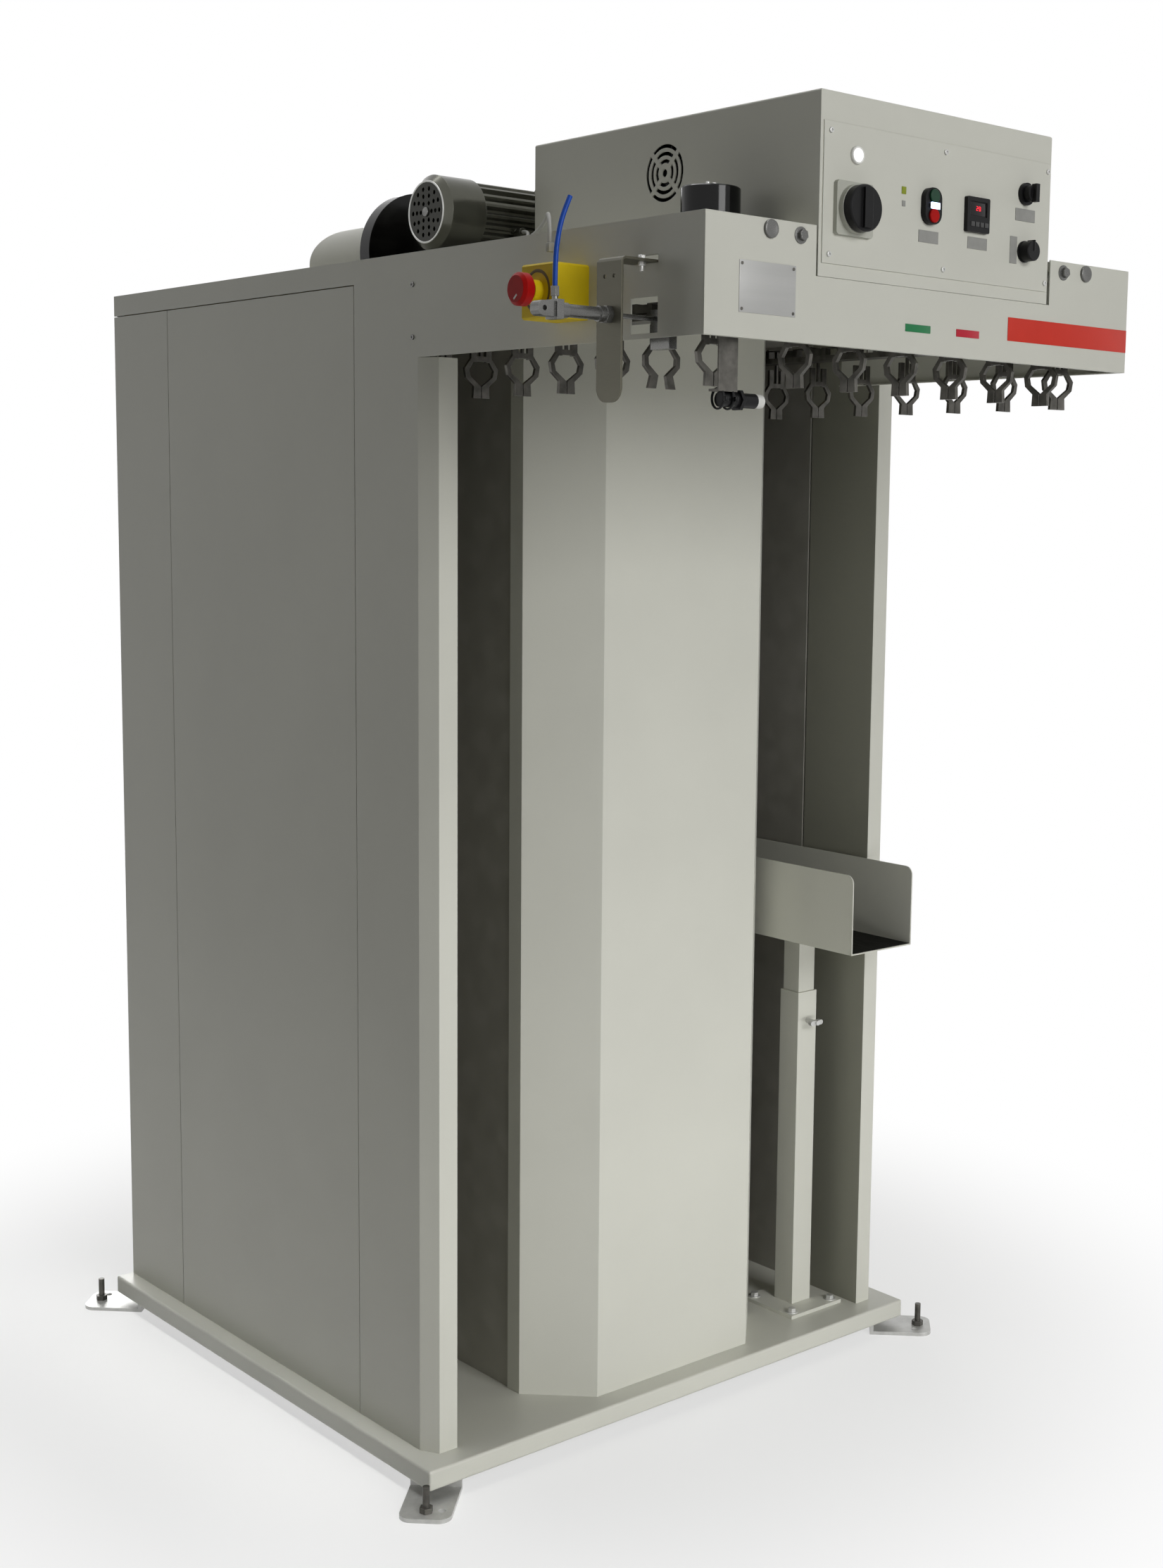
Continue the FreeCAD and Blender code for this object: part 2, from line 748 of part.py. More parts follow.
def control_box():
    outer = box(box_left, box_right, header_front_y, box_rear_y, roof_top, box_top)
    outer = outer.makeFillet(3.0, [e for e in outer.Edges if e.BoundBox.ZMin > roof_top + 1])
    chin_depth = header_lip + 10
    chin = box(box_left, box_right, header_front_y, header_front_y + chin_depth, box_bottom, roof_top)
    shell = joined(outer, chin)
    shell = shell.cut(box(box_left + sheet, box_right - sheet, header_front_y + sheet, box_rear_y - sheet,
                          roof_top, box_top - sheet))
    shell = shell.cut(box(box_left + sheet, box_right - sheet, header_front_y + sheet,
                          header_front_y + chin_depth - sheet, box_bottom + sheet, roof_top))
    border = 14.0
    shell = shell.cut(box(box_left + panel_margin_x + border, box_right - panel_margin_x - border,
                          header_front_y, header_front_y + sheet,
                          panel_bottom + border, panel_bottom + panel_height - border))
    for radius in (34.0, 24.5, 15.0):
        groove = ring((box_left, fan_y, fan_z), (1, 0, 0), radius + 2.4, radius - 2.4, sheet)
        for turn in (45, 135):
            bridge = box(box_left, box_left + sheet, fan_y - 60, fan_y + 60, fan_z - 3, fan_z + 3)
            bridge.rotate(V(box_left, fan_y, fan_z), V(1, 0, 0), turn)
            groove = groove.cut(bridge)
        shell = shell.cut(groove)
    return shell.cut(rod((box_left, fan_y, fan_z), (1, 0, 0), 5.0, sheet))


def control_panel():
    return box(panel_left, box_right - 3, panel_face, header_front_y,
               panel_bottom, panel_bottom + panel_height)


def isolator():
    """Square plate with a round collar, and a round knob with a low grip across it."""
    x = panel_left + isolator_across
    z = panel_bottom + isolator_up
    half = isolator_size / 2
    face = panel_face - isolator_depth
    plate = box(x - half, x + half, face, panel_face, z - half, z + half)
    plate = plate.makeChamfer(3.0, [e for e in plate.Edges if e.BoundBox.YLength > isolator_depth / 2])
    plate = joined(plate, rod((x, face, z), (0, -1, 0), isolator_radius + 1, 7.0))
    front = face - 7.0
    plate = plate.cut(rod((x, panel_face, z), (0, -1, 0), 4.0 + run_fit, panel_face - front))
    front -= 0.3
    disc = rod((x, front, z), (0, -1, 0), isolator_radius, 12.0)
    disc = disc.makeChamfer(1.5, [e for e in disc.Edges if e.BoundBox.YMax < front - 11])
    grip = box(x - 7, x + 7, front - 16, front - 11, z - 0.85 * isolator_radius, z + 0.85 * isolator_radius)
    spindle = rod((x, front, z), (0, 1, 0), 4.0, panel_face - front)
    return plate, joined(disc, grip, spindle)


def turning_knob(across, up, bezel_radius, bezel_depth, knob_radius, knob_depth, lever):
    x = panel_left + across
    z = panel_bottom + up
    face = panel_face - bezel_depth
    bezel = ring((x, panel_face, z), (0, -1, 0), bezel_radius, 3.0 + run_fit, bezel_depth)
    front = face - 0.3
    knob = rod((x, front, z), (0, -1, 0), knob_radius, knob_depth)
    knob = knob.makeChamfer(1.2, [e for e in knob.Edges if e.BoundBox.YMax < front - 1])
    pieces = [rod((x, front, z), (0, 1, 0), 3.0, bezel_depth)]
    if lever:
        pieces.append(box(x - 3.5, x + 3.5, front - knob_depth - 6, front - knob_depth + 2,
                          z - knob_radius - 1, z + knob_radius + 1))
    else:
        pieces.append(box(x - 1.2, x + 1.2, front - knob_depth - 1, front - 4, z, z + knob_radius + 1))
    return bezel, joined(knob, *pieces)


def double_button():
    """Oval case with a start and a stop button either side of a lit window."""
    x = panel_left + button_across
    middle = panel_bottom + button_up
    depth = 8.0
    half = button_width / 2
    body = box(x - half, x + half, panel_face - depth, panel_face,
               middle - button_height / 2, middle + button_height / 2)
    body = body.makeFillet(0.9 * half, [e for e in body.Edges if e.BoundBox.YLength > depth / 2])
    caps = []
    for side in (1, -1):
        z = middle + side * button_offset
        body = body.cut(rod((x, panel_face - depth, z), (0, 1, 0), button_radius + 0.3, depth - 1.5))
        cap = rod((x, panel_face - depth + 2.2, z), (0, -1, 0), button_radius, 5.0)
        caps.append(cap.makeChamfer(0.8, [e for e in cap.Edges if e.BoundBox.YMax < panel_face - depth]))
    window = box(x - 8, x + 8, panel_face - depth - 2, panel_face - depth, middle - 2.6, middle + 2.6)
    return joined(body, window), caps[0], caps[1]


def lamp():
    start = (panel_left + lamp_across, panel_face, panel_bottom + lamp_up)
    lens = rod(start, (0, -1, 0), 7.5, 7.0)
    lens = lens.makeChamfer(2.5, [e for e in lens.Edges if e.BoundBox.YMax < panel_face - 1])
    return [ring(start, (0, -1, 0), 10.0, 7.5, 3.5), lens]


def controller():
    x = panel_left + controller_across
    z = panel_bottom + controller_up
    half = controller_size / 2
    face = panel_face - 6.0
    body = box(x - half, x + half, face, panel_face, z - half, z + half)
    body = body.makeChamfer(1.5, [e for e in body.Edges if e.BoundBox.YLength > 3])
    return body.cut(box(x - 0.75 * half, x + 0.75 * half, face, face + 1.5, z - 0.1 * half, z + 0.75 * half))


def box_fan():
    x0 = box_left + sheet
    depth = 25.0
    half = fan_size / 2
    frame = box(x0, x0 + depth, fan_y - half, fan_y + half, fan_z - half, fan_z + half)
    frame = frame.cut(rod((x0, fan_y, fan_z), (1, 0, 0), half - 1.5, depth))
    boss = rod((x0 + depth - 3, fan_y, fan_z), (1, 0, 0), 16.0, 3.0)
    arms = []
    for turn in (0, 120, 240):
        arm = box(x0 + depth - 3, x0 + depth, fan_y - 2, fan_y + 2, fan_z + 10, fan_z + half - 1)
        arm.rotate(V(x0, fan_y, fan_z), V(1, 0, 0), turn)
        arms.append(arm)
    pin = rod((x0 + 4, fan_y, fan_z), (1, 0, 0), 2.0, depth - 4)
    frame = joined(frame, boss, pin, *arms)
    hub = ring((x0 + 3, fan_y, fan_z), (1, 0, 0), 15.0, 2.0 + run_fit, depth - 7)
    blades = []
    for i in range(7):
        blade = box(-9.0, 9.0, -0.8, 0.8, 14.0, half - 3.5)
        blade.rotate(V(0, 0, 0), V(0, 0, 1), 35)
        blade.translate(V(x0 + 12.5, fan_y, fan_z))
        blade.rotate(V(x0, fan_y, fan_z), V(1, 0, 0), i * 360 / 7)
        blades.append(blade)
    return frame, joined(hub, *blades)


def around_motor(radii, x0, x1):
    """Ribbed bar along the motor's axis from a repeating list of radii."""
    count = len(radii)
    points = []
    for i, r in enumerate(radii):
        a = 2 * math.pi * i / count
        points.append((x0, motor_y + r * math.cos(a), motor_z + r * math.sin(a)))
    return slab(points, (x1 - x0, 0, 0))


def motor():
    """Ribbed body with its end shields, and the perforated fan cowl."""
    start = (motor_left, motor_y, motor_z)
    shield = 40.0
    ribs = [motor_radius, motor_radius, motor_radius - fin_depth, motor_radius - fin_depth] * fin_count
    body = joined(around_motor(ribs, cowl_right + 1, motor_right - shield),
                  Part.makeCone(motor_radius - 2, motor_radius - 14, shield - 8,
                                V(motor_right - shield, motor_y, motor_z), V(1, 0, 0)),
                  rod((motor_right - 8, motor_y, motor_z), (1, 0, 0), motor_radius - 6, 8.0),
                  rod((cowl_right - 8, motor_y, motor_z), (1, 0, 0), cowl_radius - sheet - 0.3, 10.0))
    gland = rod((cable_start[0], motor_y - motor_radius + fin_depth + 2, cable_start[2]), (0, -1, 0),
                gland_radius, fin_depth + 10.0)
    body = joined(body, gland).cut(rod(start, (1, 0, 0), shaft_radius + run_fit, motor_length))
    shoulder = cowl_radius - cowl_face
    cowl = joined(Part.makeCone(cowl_face, cowl_radius, shoulder, V(*start), V(1, 0, 0)),
                  rod((motor_left + shoulder, motor_y, motor_z), (1, 0, 0),
                      cowl_radius, cowl_length - shoulder))
    inside = joined(Part.makeCone(cowl_face - sheet, cowl_radius - sheet, shoulder,
                                  V(motor_left + sheet, motor_y, motor_z), V(1, 0, 0)),
                    rod((motor_left + shoulder + sheet, motor_y, motor_z), (1, 0, 0),
                        cowl_radius - sheet, cowl_length))
    cowl = cowl.cut(inside)
    for radius, count in ((13.0, 6), (22.5, 10), (32.0, 14)):
        for i in range(count):
            a = 2 * math.pi * i / count
            centre = (motor_left, motor_y + radius * math.cos(a), motor_z + radius * math.sin(a))
            cowl = cowl.cut(hexagon(centre, (1, 0, 0), 6.0, sheet))
    return body, cowl


def motor_fan():
    hub = ring((motor_left + 14, motor_y, motor_z), (1, 0, 0), 14.0, shaft_radius, 26.0)
    blades = []
    for i in range(6):
        blade = box(motor_left + 14, motor_left + 40, motor_y - 1, motor_y + 1, motor_z + 12, motor_z + 34)
        blade.rotate(V(0, motor_y, motor_z), V(1, 0, 0), 60 * i)
        blades.append(blade)
    return joined(hub, *blades)


def impeller():
    shaft = rod((motor_left + 14, motor_y, motor_z), (1, 0, 0),
                shaft_radius, scroll_right - 20 - motor_left - 14)
    reach = scroll_radius - sheet - 8
    plate = rod((motor_right + 10, motor_y, motor_z), (1, 0, 0), reach, 3.0)
    hub = rod((motor_right + 10, motor_y, motor_z), (1, 0, 0), 14.0, 24.0)
    blades = []
    for i in range(12):
        blade = box(motor_right + 12, scroll_right - 14, motor_y - 1, motor_y + 1,
                    motor_z + reach - 20, motor_z + reach - 2)
        blade.rotate(V(0, motor_y, motor_z + reach - 11), V(1, 0, 0), 30)
        blade.rotate(V(0, motor_y, motor_z), V(1, 0, 0), 30 * i)
        blades.append(blade)
    return joined(shaft, plate, hub, *blades)


def scroll():
    start = (motor_right, motor_y, motor_z)
    inside = (motor_right + sheet, motor_y, motor_z)
    foot = box(motor_right, scroll_right, motor_y - throat_y / 2 - sheet, motor_y + throat_y / 2 + sheet,
               roof_top, motor_z)
    throat_low = ceiling - 6
    body = joined(rod(start, (1, 0, 0), scroll_radius, scroll_width), foot, throat(0, throat_low, motor_z))
    body = body.cut(rod(inside, (1, 0, 0), scroll_radius - sheet, scroll_width - 2 * sheet))
    body = body.cut(throat(-sheet, throat_low, motor_z))
    body = body.cut(rod(start, (1, 0, 0), shaft_radius + 2, sheet))
    return body.cut(rod((scroll_right - sheet, motor_y, motor_z), (1, 0, 0), 0.55 * scroll_radius, sheet))


def drum_form(inset):
    """Round housing on its side that stands in the roof's plane, smaller by the inset."""
    middle = roof_top + drum_rise
    drum = rod((drum_x, drum_y + inset, middle), (0, 1, 0), drum_radius - inset, drum_length - 2 * inset)
    below = box(drum_x - drum_radius, drum_x + drum_radius, drum_y, drum_y + drum_length,
                middle - drum_radius - 1, roof_top + inset)
    return drum.cut(below)


def hood_form(inset):
    """Duct with a rounded back and rear end, smaller by the inset."""
    half = hood_width / 2 - inset
    front = drum_y + drum_length + inset
    rear = drum_y + drum_length + hood_length - inset
    height = hood_height - inset
    hood = box(drum_x - half, drum_x + half, front, rear, roof_top, roof_top + height)
    rounded = [e for e in hood.Edges if e.BoundBox.ZMin > roof_top + 1 and
               (e.BoundBox.YLength > 1 or e.BoundBox.YMin > front + 1)]
    return hood.makeFillet(0.6 * hood_height - inset, rounded)


def drum_and_hood():
    drum = drum_form(0.0).cut(drum_form(sheet))
    hood = hood_form(0.0).cut(hood_form(sheet))
    return drum, hood


def rounded_route(points):
    """Runs joined by tangent arcs, each as large as its two runs allow."""
    path = [V(*p) for p in points]
    edges = []
    last = path[0]
    for a, b, c in zip(path, path[1:], path[2:]):
        into = (b - a).normalize()
        out = (c - b).normalize()
        reach = 0.45 * min((b - a).Length, (c - b).Length)
        turn = into.getAngle(out)
        radius = reach / math.tan(turn / 2)
        start = b - into * reach
        end = b + out * reach
        inward = (out - into).normalize()
        middle = b + inward * (radius / math.cos(turn / 2) - radius)
        edges.append(Part.LineSegment(last, start).toShape())
        edges.append(Part.Arc(start, middle, end).toShape())
        last = end
    edges.append(Part.LineSegment(last, path[-1]).toShape())
    return Part.Wire(edges)


def flexible(points, radius):
    """Round tube along a route."""
    heading = V(*points[1]) - V(*points[0])
    section = Part.Wire(Part.makeCircle(radius, V(*points[0]), heading))
    return rounded_route(points).makePipeShell([section], True, False)


def cable():
    """Cable with the elbow that takes it through the cheek."""
    x = cheek - gland_radius
    elbow = joined(box(x - 4, cheek, gland_y - 4, gland_y + 4,
                       gland_z - gland_radius, gland_z + gland_radius),
                   rod((cheek, gland_y, gland_z), (1, 0, 0), gland_radius - 2, 10.0))
    return [elbow, flexible(cable_route, cable_radius)]


def emergency_stop():
    half = stop_size / 2
    face = cheek - stop_depth
    case = box(face, cheek, stop_y - half, stop_y + half, stop_z - half, stop_z + half)
    corners = [e for e in case.Edges if e.BoundBox.XLength > 5 or e.BoundBox.XMax < face + 1]
    case = case.makeChamfer(2.5, corners)
    case = joined(case, rod((face, stop_y, stop_z), (-1, 0, 0), stop_neck, 12.0))
    case = case.cut(rod((face - 12, stop_y, stop_z), (1, 0, 0), 8.0 + run_fit, 24.0))
    head_start = face - 17
    head = rod((head_start, stop_y, stop_z), (-1, 0, 0), stop_radius, 16.0)
    head = head.makeChamfer(4.0, [e for e in head.Edges if e.BoundBox.XMax < head_start - 10])
    head = head.makeChamfer(1.5, [e for e in head.Edges if e.BoundBox.XMin > head_start - 1])
    stem = rod((head_start, stop_y, stop_z), (1, 0, 0), 8.0, 22.0)
    return case, joined(head, stem)


def opener():
    """Bent bracket, air cylinder with its fitting, and the rod with the pusher."""
    plate_x = cheek - opener_stand
    top = opener_z + bracket_rise
    low = opener_z - bracket_drop
    half = bracket_width / 2
    y0 = opener_y - half
    y1 = opener_y + half
    line = [
        (plate_x, low), (plate_x, top - 5), (plate_x + 2, top - 2), (plate_x + 5, top), (cheek + 24, top),
        (cheek + 24, top - bracket_sheet), (plate_x + 5, top - bracket_sheet),
        (plate_x + bracket_sheet, top - 5), (plate_x + bracket_sheet, low),
    ]
    bracket = cross_plate(line, y0, y1)
    toe = [e for e in bracket.Edges if e.BoundBox.ZMax < low + 1 and e.BoundBox.XLength > 1]
    bracket = bracket.makeFillet(0.4 * bracket_width, toe)
    nose = 6.5
    axis = (opener_y, opener_z)
    bracket = bracket.cut(rod((plate_x, *axis), (1, 0, 0), nose + run_fit, bracket_sheet))
    for y in (opener_y - 8.5, opener_y + 8.5):
        bracket = bracket.cut(rod((plate_x, y, top - 22), (1, 0, 0), 2.5, bracket_sheet))
    rear = plate_x - cylinder_length
    port = hose_x
    block = barrel_radius + 3.4
    tail = box(rear, port - 5, opener_y - 8, opener_y + 8, opener_z - 8.5, opener_z + 8.5)
    bend = [e for e in tail.Edges if e.BoundBox.XMax < rear + 1 and e.BoundBox.YLength > 5]
    tail = tail.makeFillet(7.0, bend)
    tail = tail.cut(rod((rear + 9, opener_y - 8, opener_z), (0, 1, 0), 3.0, 16.0))
    cap = box(port - 5, port + 5, opener_y - block, opener_y + block, opener_z - block, opener_z + block)
    neck = rod((port + 5, *axis), (1, 0, 0), barrel_radius + 1.2, 12.0)
    barrel = rod((port + 17, *axis), (1, 0, 0), barrel_radius, plate_x - 17 - port - 17)
    collar = rod((plate_x - 17, *axis), (1, 0, 0), barrel_radius + 1.6, 9.0)
    nut = hexagon((plate_x - 8, *axis), (1, 0, 0), 19.0, 8.0)
    thread = rod((plate_x, *axis), (1, 0, 0), nose, bracket_sheet + 6)
    fitting = joined(rod((port, opener_y, opener_z + block - 1), (0, 0, 1), 3.5, 8.0),
                     hexagon((port, opener_y, opener_z + block + 4), (0, 0, 1), 9.0,
                             hose_foot - opener_z - block - 4))
    cylinder = joined(tail, cap, neck, barrel, collar, nut, thread, fitting)
    cylinder = cylinder.cut(rod((port + 14, *axis), (1, 0, 0), rod_radius + run_fit, cylinder_length))
    pusher_face = cheek + chain_from_left - clip_offset - clip_radius - opener_stroke - 0.6
    bar = rod((port + 16, *axis), (1, 0, 0), rod_radius, pusher_face - 10 - port - 16)
    head = box(pusher_face - 12, pusher_face, opener_y - 20, opener_y + 14, opener_z - 35, opener_z + 12)
    return bracket, cylinder, joined(bar, head)


def sensor():
    z = header_bottom - sensor_drop
    shelf = z + sensor_radius
    lip_top = header_bottom + sheet
    plate_y = sensor_y - sensor_radius
    x0 = sensor_x - sensor_plate_width / 2
    x1 = sensor_x + sensor_plate_width / 2
    line = [(header_front_y + sheet + 1, lip_top), (header_front_y + sheet + 1, lip_top + sensor_plate),
            (plate_y + sensor_plate, lip_top + sensor_plate), (plate_y + sensor_plate, shelf + sensor_plate),
            (sensor_y + sensor_radius, shelf + sensor_plate), (sensor_y + sensor_radius, shelf),
            (plate_y, shelf), (plate_y, lip_top)]
    bracket = side_plate(line, x0, x1)
    left = sensor_x - 0.1 * sensor_length
    barrel = rod((left, sensor_y, z), (1, 0, 0), sensor_radius, sensor_length)
    nut = hexagon((x1 + 6, sensor_y, z), (1, 0, 0), 2.6 * sensor_radius, 5.0)
    return bracket, joined(barrel, nut)


def chute():
    """Channel on a square tube that slides in a post on the tray, with its clamp screw."""
    x0 = chute_left
    x1 = chute_right
    y1 = chute_front + chute_length
    top = chute_floor + chute_height
    channel = box(x0, x1, chute_front, y1, chute_floor, top)
    channel = channel.cut(box(x0 + sheet, x1 - sheet, chute_front, y1, chute_floor + sheet, top))
    noses = [e for e in channel.Edges if e.BoundBox.ZMin > top - 0.1 and e.BoundBox.XLength < 3
             and e.BoundBox.YLength < 0.1]
    channel = channel.makeFillet(chute_corner, noses)
    half = chute_post_size / 2
    inner = half - chute_post_wall
    tube = inner - chute_tube_fit
    x = chute_middle
    y = chute_post_y

    def square(size, z0, z1):
        return box(x - size, x + size, y - size, y + size, z0, z1)

    slider = joined(square(half + 5, chute_floor - 4, chute_floor),
                    square(tube, chute_floor - chute_tube_length, chute_floor - 4))
    slider = slider.cut(square(tube - 2, chute_floor - chute_tube_length, chute_floor - 4))
    flange_top = tray_top + 6
    post = joined(square(chute_flange / 2, tray_top, flange_top), square(half, flange_top, chute_post_top))
    post = post.cut(square(inner, flange_top, chute_post_top))
    screw_z = chute_post_top - 50
    screw_radius = 4.0
    post = post.cut(rod((x, y - half, screw_z), (0, 1, 0), screw_radius + run_fit, chute_post_wall))
    shank = rod((x, y - tube - 0.3, screw_z), (0, -1, 0), screw_radius, 30.0)
    wings = box(x - 14, x + 14, y - half - 24, y - half - 17, screw_z - 4, screw_z + 4)
    wings = wings.makeChamfer(2.5, [e for e in wings.Edges if e.BoundBox.YLength > 5])
    return channel, slider, post, joined(shank, wings)


def build():
    nodes = {}
    nodes["base_tray"] = tray()
    nodes["foot_plates"], nodes["anchor_studs"] = feet()
    nodes["left_frame_sheet"], nodes["right_frame_sheet"] = frame_sheets()
    nodes["left_side_panel"] = side_panel()
    nodes["right_side_panel"] = mirrored(side_panel())
    nodes["rear_cover"] = rear_cover()
    nodes["roof_panel"] = roof()
    nodes["insulation_slabs"] = insulation()
    nodes["liner_sheets"] = liner()
    nodes["column_front"] = column_front()
    nodes["column_core"] = column_core()
    nodes["header_front"], nodes["header_right"], nodes["header_top"] = header_shell()
    nodes["chain_rail"], nodes["rail_hangers"] = rail()
    nodes["chain_links"] = chain()
    nodes["clips"] = clips()
    nodes["drive_wheel"] = drive_wheel()
    places = {
        "front_right_wheel": (wheel_right, wheel_front, roof_bottom),
        "rear_left_wheel": (wheel_left, wheel_rear, ceiling),
        "rear_right_wheel": (wheel_right, wheel_rear, ceiling),
    }
    nodes["wheel_shafts"] = [idler_shaft(x, y, top) for x, y, top in places.values()]
    for name, (x, y, _) in places.items():
        nodes[name] = wheel(x, y, shaft_radius + run_fit)
    nodes["drive_unit"] = drive_unit()
    nodes["control_box"] = control_box()
    nodes["control_panel"] = control_panel()
    nodes["isolator_plate"], nodes["isolator_knob"] = isolator()
    button_body, nodes["start_button"], nodes["stop_button"] = double_button()
    selector_bezel, nodes["selector_knob"] = turning_knob(
        selector_across, selector_up, 14.5, 4.5, 10.5, 11.0, True)
    dial_bezel, nodes["dial_knob"] = turning_knob(dial_across, dial_up, 14.0, 2.5, 13.0, 15.0, False)
    nodes["panel_bezels"] = [button_body, selector_bezel, dial_bezel]
    nodes["pilot_lamp"] = lamp()
    nodes["temperature_controller"] = controller()
    nodes["box_fan_frame"], nodes["box_fan_rotor"] = box_fan()
    nodes["motor_body"], nodes["motor_cowl"] = motor()
    nodes["motor_fan"] = motor_fan()
    nodes["blower_impeller"] = impeller()
    nodes["blower_scroll"] = scroll()
    nodes["fan_drum"], nodes["roof_hood"] = drum_and_hood()
    nodes["motor_cable"] = cable()
    nodes["stop_case"], nodes["stop_mushroom"] = emergency_stop()
    nodes["opener_bracket"], nodes["opener_cylinder"], nodes["opener_rod"] = opener()
    nodes["air_hose"] = flexible(hose_route, hose_radius)
    nodes["sensor_bracket"], nodes["clip_sensor"] = sensor()
    nodes["chute_channel"], nodes["chute_tube"], nodes["chute_post"], nodes["chute_screw"] = chute()
    return nodes


os.makedirs("parts", exist_ok=True)
for node, shape in build().items():
    pieces = shape if isinstance(shape, list) else [shape]
    solids = [solid for piece in pieces for solid in piece.Solids]
    whole = solids[0] if len(solids) == 1 else Part.makeCompound(solids)
    whole.exportStep("parts/" + node + ".step")
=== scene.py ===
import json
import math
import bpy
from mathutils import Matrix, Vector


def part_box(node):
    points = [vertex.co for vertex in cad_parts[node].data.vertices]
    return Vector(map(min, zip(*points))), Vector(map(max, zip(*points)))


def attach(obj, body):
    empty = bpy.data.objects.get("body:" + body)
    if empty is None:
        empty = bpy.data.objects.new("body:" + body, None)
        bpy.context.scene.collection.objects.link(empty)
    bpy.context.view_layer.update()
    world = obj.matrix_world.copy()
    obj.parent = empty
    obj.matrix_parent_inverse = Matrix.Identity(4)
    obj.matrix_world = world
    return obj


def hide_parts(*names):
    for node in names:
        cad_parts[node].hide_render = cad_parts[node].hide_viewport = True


bl_info = {
    "name": "Clip-conveyor drying oven",
    "version": (1, 0, 0),
    "blender": (4, 5, 0),
    "location": "3D View > Sidebar > Drying Oven",
    "description": "Finishes, fixings, bare plates, hose and stage for a clip-conveyor drying oven",
    "category": "Object",
}

import bmesh
import bpy
from bpy.props import FloatProperty, FloatVectorProperty, PointerProperty
from mathutils import Matrix, Vector

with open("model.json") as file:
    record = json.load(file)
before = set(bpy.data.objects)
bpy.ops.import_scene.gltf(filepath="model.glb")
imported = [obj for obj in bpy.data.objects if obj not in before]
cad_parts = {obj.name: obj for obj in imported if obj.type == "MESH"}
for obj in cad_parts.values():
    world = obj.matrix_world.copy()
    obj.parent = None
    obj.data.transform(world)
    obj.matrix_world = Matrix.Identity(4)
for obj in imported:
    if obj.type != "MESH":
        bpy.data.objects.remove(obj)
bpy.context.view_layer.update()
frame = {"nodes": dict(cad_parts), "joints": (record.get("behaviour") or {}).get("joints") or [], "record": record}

MM = 0.001
OUT = Vector((0, -1, 0))
LEFT = Vector((-1, 0, 0))
UP = Vector((0, 0, 1))

# Least cosine between a face's normal and the direction that it is said to look in
SQUARE = 0.9
# Where nearly all of a noise's values lie
NOISE_RANGE = {"From Min": 0.3, "From Max": 0.7}

# The photograph's camera: lengths in pixels of the whole frame, angles in degrees, place in metres
PHOTO_HEIGHT = 2228
FOCAL_LENGTH = 2872.7
SHIFT_X, SHIFT_Y = -161.0, -31.1
YAW, PITCH, ROLL = 42.057, -7.087, 0.859
CAMERA_PLACE = (-2.0486, -2.7441, 1.4088)
SENSOR_MM = 36

# Nodes whose finish isn't that of their slot
OWN_FINISH = {
    "anchor_studs": "dark_steel",
    "base_tray": "tray_paint",
    "isolator_plate": "pale_plastic",
    "motor_cowl": "cowl_steel",
    "opener_cylinder": "anodised",
    "opener_rod": "anodised",
    "right_frame_sheet": "left_shaded_paint",
    "sensor_bracket": "dark_steel",
}


def linear(code):
    """Linear RGBA of an sRGB hex colour."""
    channels = [int(code[i:i + 2], 16) / 255 for i in (1, 3, 5)]
    return [c / 12.92 if c <= 0.04045 else ((c + 0.055) / 1.055) ** 2.4 for c in channels] + [1.0]


def add(tree, kind, inputs=None, **settings):
    """Add a node, set its properties and sockets, and link the sockets that are given an output."""
    node = tree.nodes.new(kind)
    for name, value in settings.items():
        setattr(node, name, value)
    for key, value in (inputs or {}).items():
        if isinstance(value, bpy.types.NodeSocket):
            tree.links.new(value, node.inputs[key])
        else:
            node.inputs[key].default_value = value
    return node


def emptied(owner):
    """Node tree of a material or a world, with nothing in it."""
    owner.use_nodes = True
    owner.node_tree.nodes.clear()
    return owner.node_tree


def new_material(name):
    """Material with its node tree, the object coordinates and its shader."""
    material = bpy.data.materials.new(name)
    tree = emptied(material)
    place = add(tree, "ShaderNodeTexCoord").outputs["Object"]
    shader = add(tree, "ShaderNodeBsdfPrincipled")
    add(tree, "ShaderNodeOutputMaterial", {"Surface": shader.outputs["BSDF"]})
    return material, tree, place, shader


